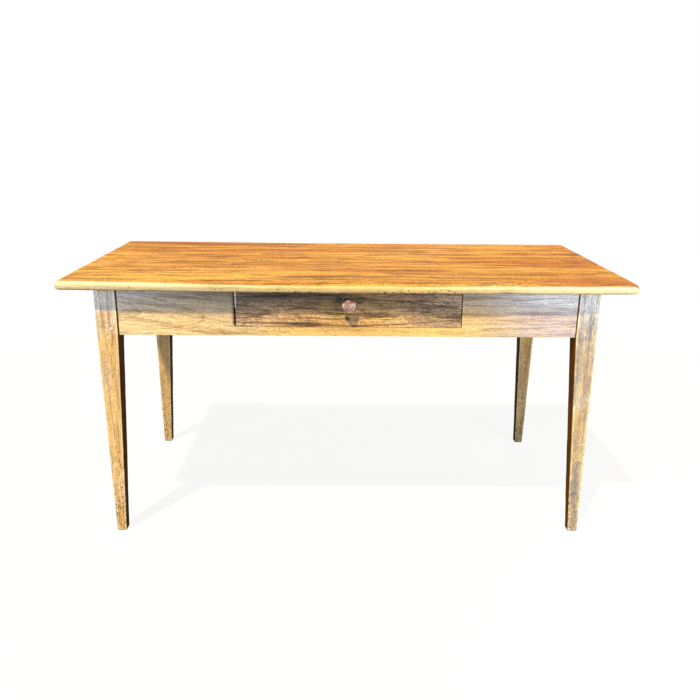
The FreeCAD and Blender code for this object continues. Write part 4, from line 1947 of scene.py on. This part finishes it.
def arc_through(start: Span, middle: Span, end: Span, count: int) -> list[Span]:
    """Points of the arc through three points.

    Args:
        start: first point.
        middle: a point between.
        end: last point.
        count: number of steps.

    Returns:
        The points from start to end.
    """
    (ax, ay), (bx, by), (cx, cy) = start, middle, end
    size = 2 * (ax * (by - cy) + bx * (cy - ay) + cx * (ay - by))
    a2, b2, c2 = ax * ax + ay * ay, bx * bx + by * by, cx * cx + cy * cy
    x = (a2 * (by - cy) + b2 * (cy - ay) + c2 * (ay - by)) / size
    y = (a2 * (cx - bx) + b2 * (ax - cx) + c2 * (bx - ax)) / size
    radius = math.hypot(ax - x, ay - y)
    angles = [math.atan2(py - y, px - x) for px, py in (start, middle, end)]
    turn = (angles[2] - angles[0]) % math.tau
    if (angles[1] - angles[0]) % math.tau > turn:
        turn -= math.tau
    steps = (angles[0] + turn * i / count for i in range(count + 1))
    return [(x + radius * math.cos(angle), y + radius * math.sin(angle)) for angle in steps]


@dataclass
class Pegs:
    """Riven pegs through the tenons, whose worn heads show on one side of the table.

    Attributes:
        node: CAD node that the pegs replace.
        along: axis that they run along.
        radius: radius of a peg.
        sides: points round a peg.
        rings: shares of the radius and of the head's height, from the rim inwards.
        head: height of the worn head.
        riven_share: depth of the flats that riving left, in radii.
        flats: number of flats round a peg.
        peg_turn: how much a peg is turned for each metre of its height.
        bared: place of a peg whose head has lost its finish, or None.
        bared_reach: distance from there, in radii, that counts as that peg.
        hazed: how far painted sheen pales the upper heads on the front, as on the legs' tops.
        rubbed: how far the heads are rubbed pale.
    """

    node: str
    along: Axis
    radius: float = 0.004
    sides: int = 14
    rings: tuple[Span, ...] = ((1.0, 0.0), (0.93, 0.55), (0.7, 0.85), (0.35, 1.0))
    head: float = 0.0008
    riven_share: float = 0.06
    flats: int = 3
    peg_turn: float = 40
    bared: Optional[Vector] = None
    bared_reach: float = 4
    hazed: float = 1.0
    rubbed: float = 0.4

    def __post_init__(self) -> None:
        """Takes the pegs' place from the frame."""
        self.low, self.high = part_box(self.node)
        self.axis = self.along.value
        self.outward = 1 if self.low[self.axis] > 0 else -1

    def spots(self) -> list[Vector]:
        """Middles of the heads' rims.

        Returns:
            A place for each peg.
        """
        rim = (self.high if self.outward > 0 else self.low)[self.axis] - self.outward * self.head
        aside = 1 - self.axis
        first = [part + self.radius for part in self.low]
        last = [part - self.radius for part in self.high]
        spots = []
        for across, height in product((first[aside], last[aside]), (first[2], last[2])):
            spot = Vector((0, 0, height))
            spot[self.axis] = rim
            spot[aside] = across
            spots.append(spot)
        return spots

    def ring(self, spot: Vector, share: float, rise: float) -> list[Vector]:
        """Points of one ring round a peg.

        Args:
            spot: middle of the head's rim.
            share: share of the peg's radius.
            rise: distance outwards from the rim, in heights of the head.

        Returns:
            The points in order.
        """
        points = []
        for turn in range(self.sides):
            angle = math.tau * turn / self.sides
            flat = (1 + math.sin(self.flats * angle + self.peg_turn * spot.z)) / 2
            reach = self.radius * share * (1 - self.riven_share * flat)
            place = spot.copy()
            place[self.axis] += self.outward * rise * self.head
            place[(self.axis + 1) % 3] += reach * math.cos(angle)
            place[(self.axis + 2) % 3] += reach * math.sin(angle)
            points.append(place)
        return points

    def build(self, finish: Material) -> None:
        """Builds the pegs of one side and dresses them.

        Args:
            finish: wood of the pegs.
        """
        length = self.high[self.axis] - self.low[self.axis] - self.head
        section = ((1.0, -length / self.head), *self.rings)
        shape = bmesh.new()
        for spot in self.spots():
            rings = [[shape.verts.new(place) for place in self.ring(spot, *line)] for line in section]
            bridge(shape, rings)
            shape.faces.new(rings[0])
            shape.faces.new(rings[-1])
        piece = piece_from(shape, self.node)
        axes = tuple(Axis((self.axis + shift) % 3) for shift in range(3))
        mark_mesh(piece.data, Cut(axes, (0.02, 0.01), 51.0), (self.low + self.high) / 2, self.marks)
        settle(piece, Body.TABLE, Slot.PEG, finish, self.node)

    def marks(self, place: Vector, normal: Vector) -> Marks:
        """Marks at a place.

        Args:
            place: where they are read.
            normal: direction that the face looks in.

        Returns:
            The marks apart from the grain.
        """
        bare = self.bared is not None and (place - self.bared).length < self.bared_reach * self.radius
        # The upper front heads get painted sheen.
        dull = self.hazed * ease(place.z, self.low.z, self.high.z) * ease(-normal.y, *TURNED_FRONT)
        return {Mark.FADING: float(bare), Mark.BLOOM: dull, Mark.ARRIS: self.rubbed}


@dataclass
class Fittings:
    """CAD nodes that keep their shape and get a finish and an eased edge."""

    bevel: float = 0.0006
    segments: int = 2

    def dress(self, names: Sequence[str], finish: Material) -> None:
        """Gives nodes a finish and a fine eased edge.

        Args:
            names: CAD nodes.
            finish: their material.
        """
        for name in names:
            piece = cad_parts[name]
            piece.data.materials.clear()
            piece.data.materials.append(finish)
            easing = piece.modifiers.new("easing", "BEVEL")
            easing.width = self.bevel
            easing.segments = self.segments
            easing.limit_method = "ANGLE"
            log.info("%s: carried over from the frame", name)


@dataclass(frozen=True)
class Lamp:
    """Soft square lamp, with the level at which it renders a white face that is turned to it at its aim."""

    name: str
    place: Colour
    aim: Colour
    size: float
    level: float
    tint: Colour = WHITE

    def build(self) -> None:
        """Hangs the lamp."""
        light = bpy.data.lights.new(self.name, "AREA")
        ray = Vector(self.aim) - Vector(self.place)
        light.energy = self.level * math.pi ** 2 * ray.length_squared
        light.size = self.size
        light.color = self.tint
        lamp = bpy.data.objects.new(self.name, light)
        lamp.location = self.place
        lamp.rotation_euler = ray.to_track_quat("-Z", "Y").to_euler()
        lamp.visible_camera = False
        bpy.context.scene.collection.objects.link(lamp)


@dataclass
class Studio:
    """Pale floor, plain light and the camera.

    Attributes:
        camera_place: where the camera stands.
        turn: turn of its view to the right of +Y.
        dip: how far it looks down.
        roll: how far it leans.
        lens: focal length in millimetres on a full frame.
        sky: brightness and tint of the surroundings as light.
        floor_glow: share of the floor that shows plain white beside the table.
        floor_fade: distances between which the floor turns all white.
        floor_bounce: colour of the floor as it lights the table.
        floor_paint: colour of the floor as it is seen, against the blue of the shade.
        floor_size: side of the floor.
        lamps: the lamps.
    """

    camera_place: Colour = (-0.02888, -2.28464, 1.15268)
    turn: float = 0.0175
    dip: float = 0.2929
    roll: float = 0.0112
    lens: float = 37.637
    sky: Colour = (0.1, 0.16, 0.32)
    floor_glow: float = 0.9
    floor_fade: Span = (1.1, 2.6)
    floor_bounce: Colour = (0.18, 0.14, 0.1)
    floor_paint: Colour = (1.0, 0.76, 0.45)
    floor_size: float = 30.0
    lamps: tuple[Lamp, ...] = (
        Lamp("key", (-14.8, -24.9, 53.4), (0.0, -0.3, 0.73), 2.6, 1.72, (1.0, 0.94, 0.82)),
        Lamp("front_fill", (0.1, -4.2, 0.9), (0.0, -0.3, 0.5), 2.2, 0.25, (0.2, 0.55, 1.5)),
        Lamp("left_fill", (-1.35, -1.05, 0.75), (-0.64, -0.34, 0.68), 0.7, 0.9, (0.38, 0.53, 0.84)),
        Lamp("right_fill", (1.35, -1.05, 0.75), (0.64, -0.34, 0.68), 0.7, 2.5, (0.46, 0.58, 0.8)),
        Lamp("back_fill", (0.8, 3.0, 4.6), (0.0, 0.3, 0.5), 2.4, 0.3),
    )

    def camera(self) -> None:
        """Sets up the camera at the photograph's place."""
        forward = Vector((
            math.sin(self.turn) * math.cos(self.dip),
            math.cos(self.turn) * math.cos(self.dip),
            -math.sin(self.dip),
        ))
        right = Vector((math.cos(self.turn), -math.sin(self.turn), 0))
        upward = right.cross(forward)
        leaned_right = right * math.cos(self.roll) + upward * math.sin(self.roll)
        leaned_up = upward * math.cos(self.roll) - right * math.sin(self.roll)
        data = bpy.data.cameras.new("camera")
        data.lens = self.lens
        camera = bpy.data.objects.new("camera", data)
        turned = Matrix((leaned_right, leaned_up, -forward)).transposed().to_4x4()
        camera.matrix_world = Matrix.Translation(self.camera_place) @ turned
        bpy.context.scene.collection.objects.link(camera)
        bpy.context.scene.camera = camera

    def seen(self, graph: Graph) -> Socket:
        """1 on rays that show the surroundings themselves, straight or in gloss."""
        path = graph.add("ShaderNodeLightPath").outputs
        gloss = graph.math("MAXIMUM", path["Is Glossy Ray"], path["Is Transmission Ray"])
        return graph.math("MAXIMUM", path["Is Camera Ray"], gloss)

    def world(self) -> None:
        """Makes surroundings that look white and light the table gently."""
        world = bpy.data.worlds.new("surroundings")
        world.use_nodes = True
        graph = Graph(world.node_tree)
        shade = graph.mix(self.seen(graph), self.sky, WHITE)
        graph.feed(world.node_tree.nodes["Background"], "Color", shade)
        bpy.context.scene.world = world

    def floor(self) -> None:
        """Lays the floor, which shows a faint shadow on white and is clear from below."""
        shape = bmesh.new()
        bmesh.ops.create_grid(shape, x_segments=1, y_segments=1, size=self.floor_size / 2)
        floor = piece_from(shape, "floor")
        material, graph, shader = bare_material("floor")
        nodes = material.node_tree.nodes
        nodes.remove(shader)
        seen = self.seen(graph)
        colour = graph.mix(seen, self.floor_bounce, self.floor_paint)
        diffuse = graph.add("ShaderNodeBsdfDiffuse", {0: colour}).outputs[0]
        glow = graph.add("ShaderNodeEmission", {"Color": (*WHITE, 1.0)}).outputs[0]
        distance = graph.length(graph.add("ShaderNodeTexCoord").outputs["Object"])
        fade = graph.add("ShaderNodeMapRange", {
            "Value": distance, "From Min": self.floor_fade[0], "From Max": self.floor_fade[1],
            "To Min": self.floor_glow, "To Max": 1.0}, interpolation_type="SMOOTHSTEP").outputs[0]
        above = graph.add("ShaderNodeMixShader", {0: graph.times(seen, fade), 1: diffuse, 2: glow}).outputs[0]
        beneath = graph.add("ShaderNodeNewGeometry").outputs["Backfacing"]
        clear = graph.add("ShaderNodeBsdfTransparent").outputs[0]
        surface = graph.add("ShaderNodeMixShader", {0: beneath, 1: above, 2: clear}).outputs[0]
        graph.feed(nodes["Material Output"], "Surface", surface)
        floor.data.materials.append(material)

    def build(self) -> None:
        """Sets up the camera, the light and the floor."""
        self.camera()
        self.world()
        self.floor()
        for lamp in self.lamps:
            lamp.build()
        bpy.context.scene.view_settings.view_transform = "Standard"


# In each wood finish the sixth colour (dull) tints the painted shade and the eighth is the colour of the
# painted sheen; on the top the eighth is a yellow tint of the wood, and the worn and faded colours pale its
# bullnose partly as a painted highlight.
TOP_WOOD = WoodFinish(
    "top_wood", paint(217, 155, 60), paint(188, 116, 41), paint(104, 48, 12), paint(240, 204, 122),
    paint(82, 44, 16), paint(140, 130, 118), paint(246, 234, 198), paint(240, 188, 88),
    spacing=0.008, wander=0.04, fineness=0.9, streak_share=0.75, line_share=0.45, grit=110.0,
    mottle_share=1.4, patch_share=0.2, wear_share=0.72, roughness=0.55, gloss=0.05,
)
APRON_WOOD = WoodFinish(
    "apron_wood", paint(248, 198, 104), paint(240, 180, 90), paint(150, 82, 30), paint(255, 232, 170),
    paint(96, 58, 26), paint(84, 74, 66), paint(216, 190, 172), paint(255, 244, 212),
    spacing=0.011, wander=0.01, fineness=0.8, ring_share=0.65, streak_share=0.35, line_share=0.35,
    mottle_share=0.8, patch_share=0.08, wear_share=0.6, roughness=0.5, gloss=0.15,
)
LEG_WOOD = WoodFinish(
    "leg_wood", paint(246, 192, 112), paint(234, 170, 92), paint(152, 86, 36), paint(255, 230, 156),
    paint(98, 72, 48), paint(92, 62, 18), paint(255, 214, 140), paint(255, 234, 190),
    spacing=0.006, wander=0.02, fineness=1.3, ring_share=0.4, streak_share=0.45, line_share=0.2,
    mottle_share=1.3, patch_share=0.16, patch_rate=44.0, wear_share=0.5, roughness=0.6, gloss=0.01,
)
GREY_LEG_WOOD = replace(
    LEG_WOOD, name="grey_leg_wood", pale=paint(212, 176, 114), mid=paint(198, 156, 94),
    dark=paint(126, 86, 48), grime=paint(112, 106, 104), dull=paint(150, 104, 20), bloom=paint(232, 214, 182),
    line_share=0.3, patch_share=0.25,
)
DRAWER_WOOD = WoodFinish(
    "drawer_front_wood", paint(255, 190, 102), paint(232, 164, 84), paint(58, 36, 18), paint(246, 212, 156),
    paint(44, 30, 18), paint(112, 122, 142), paint(255, 208, 92), paint(238, 226, 200),
    spacing=0.012, wander=0.004, fineness=1.2, grit=300.0, ring_share=0.85, streak_share=0.75,
    line_share=0.6, mottle_share=2.0, patch_share=0.35, wear_share=0.6, gloss=0.2,
)
KNOB_WOOD = WoodFinish(
    "knob_wood", paint(212, 168, 130), paint(192, 146, 110), paint(136, 94, 66), paint(236, 206, 172),
    paint(70, 44, 30), paint(110, 76, 50), paint(210, 190, 170),
    spacing=0.003, wander=0.004, ring_share=0.35, streak_share=0.3, patch_rate=60.0, patch_share=0.25,
    wear_share=0.6, roughness=0.4, gloss=0.35, relief=0.0001,
)
PEG_WOOD = WoodFinish(
    "peg_wood", paint(238, 194, 130), paint(224, 176, 112), paint(150, 102, 58), paint(240, 204, 142),
    paint(96, 68, 42), paint(120, 100, 80), paint(244, 244, 246), patch_rate=60.0, roughness=0.58, gloss=0.1,
)
INNER_WOOD = WoodFinish(
    "inner_wood", paint(222, 186, 136), paint(204, 164, 112), paint(150, 108, 66), paint(224, 192, 144),
    paint(104, 78, 50), paint(140, 130, 118), paint(210, 190, 170),
    spacing=0.006, wander=0.02, streak_share=0.4, roughness=0.65, gloss=0.1, grain_axis=Axis.Y,
)
LONG_INNER_WOOD = replace(INNER_WOOD, name="long_inner_wood", grain_axis=Axis.X)
IRON = IronFinish("dull_iron", paint(82, 76, 70), paint(96, 62, 42))
FINISHES = (
    TOP_WOOD, APRON_WOOD, LEG_WOOD, GREY_LEG_WOOD, DRAWER_WOOD, KNOB_WOOD, PEG_WOOD, INNER_WOOD,
    LONG_INNER_WOOD,
)
PEG_AXES = {"front": Axis.Y, "back": Axis.Y, "left": Axis.X, "right": Axis.X}
BARED_PEGS = {"front": Vector((-0.651, -0.34, 0.623))}


def main() -> None:
    """Builds the table's pieces in order and sets up the studio."""
    logging.basicConfig(level=logging.INFO, format="%(message)s")
    effects = Effects()
    wood = {finish.name: finish.material(effects) for finish in FINISHES}
    iron = IRON.material(effects)
    TableTop().build(wood[TOP_WOOD.name])
    Underframe().build(wood[LEG_WOOD.name], wood[GREY_LEG_WOOD.name], wood[APRON_WOOD.name])
    Drawer().build(wood[DRAWER_WOOD.name], wood[KNOB_WOOD.name])
    for side, along in PEG_AXES.items():
        Pegs("joint_pegs_" + side, along, bared=BARED_PEGS.get(side)).build(wood[PEG_WOOD.name])
    fittings = Fittings()
    kinds = ("drawer_side_", "drawer_runner_", "drawer_guide_", "drawer_stop_")
    along_y = ["top_buttons"] + [kind + side for kind in kinds for side in ("left", "right")]
    fittings.dress(along_y, wood[INNER_WOOD.name])
    along_x = ["top_joint_tongues", "drawer_back", "drawer_bottom"]
    fittings.dress(along_x, wood[LONG_INNER_WOOD.name])
    fittings.dress(["button_screws", "drawer_bottom_nails"], iron)
    Studio().build()


if __name__ == "__main__":
    main()
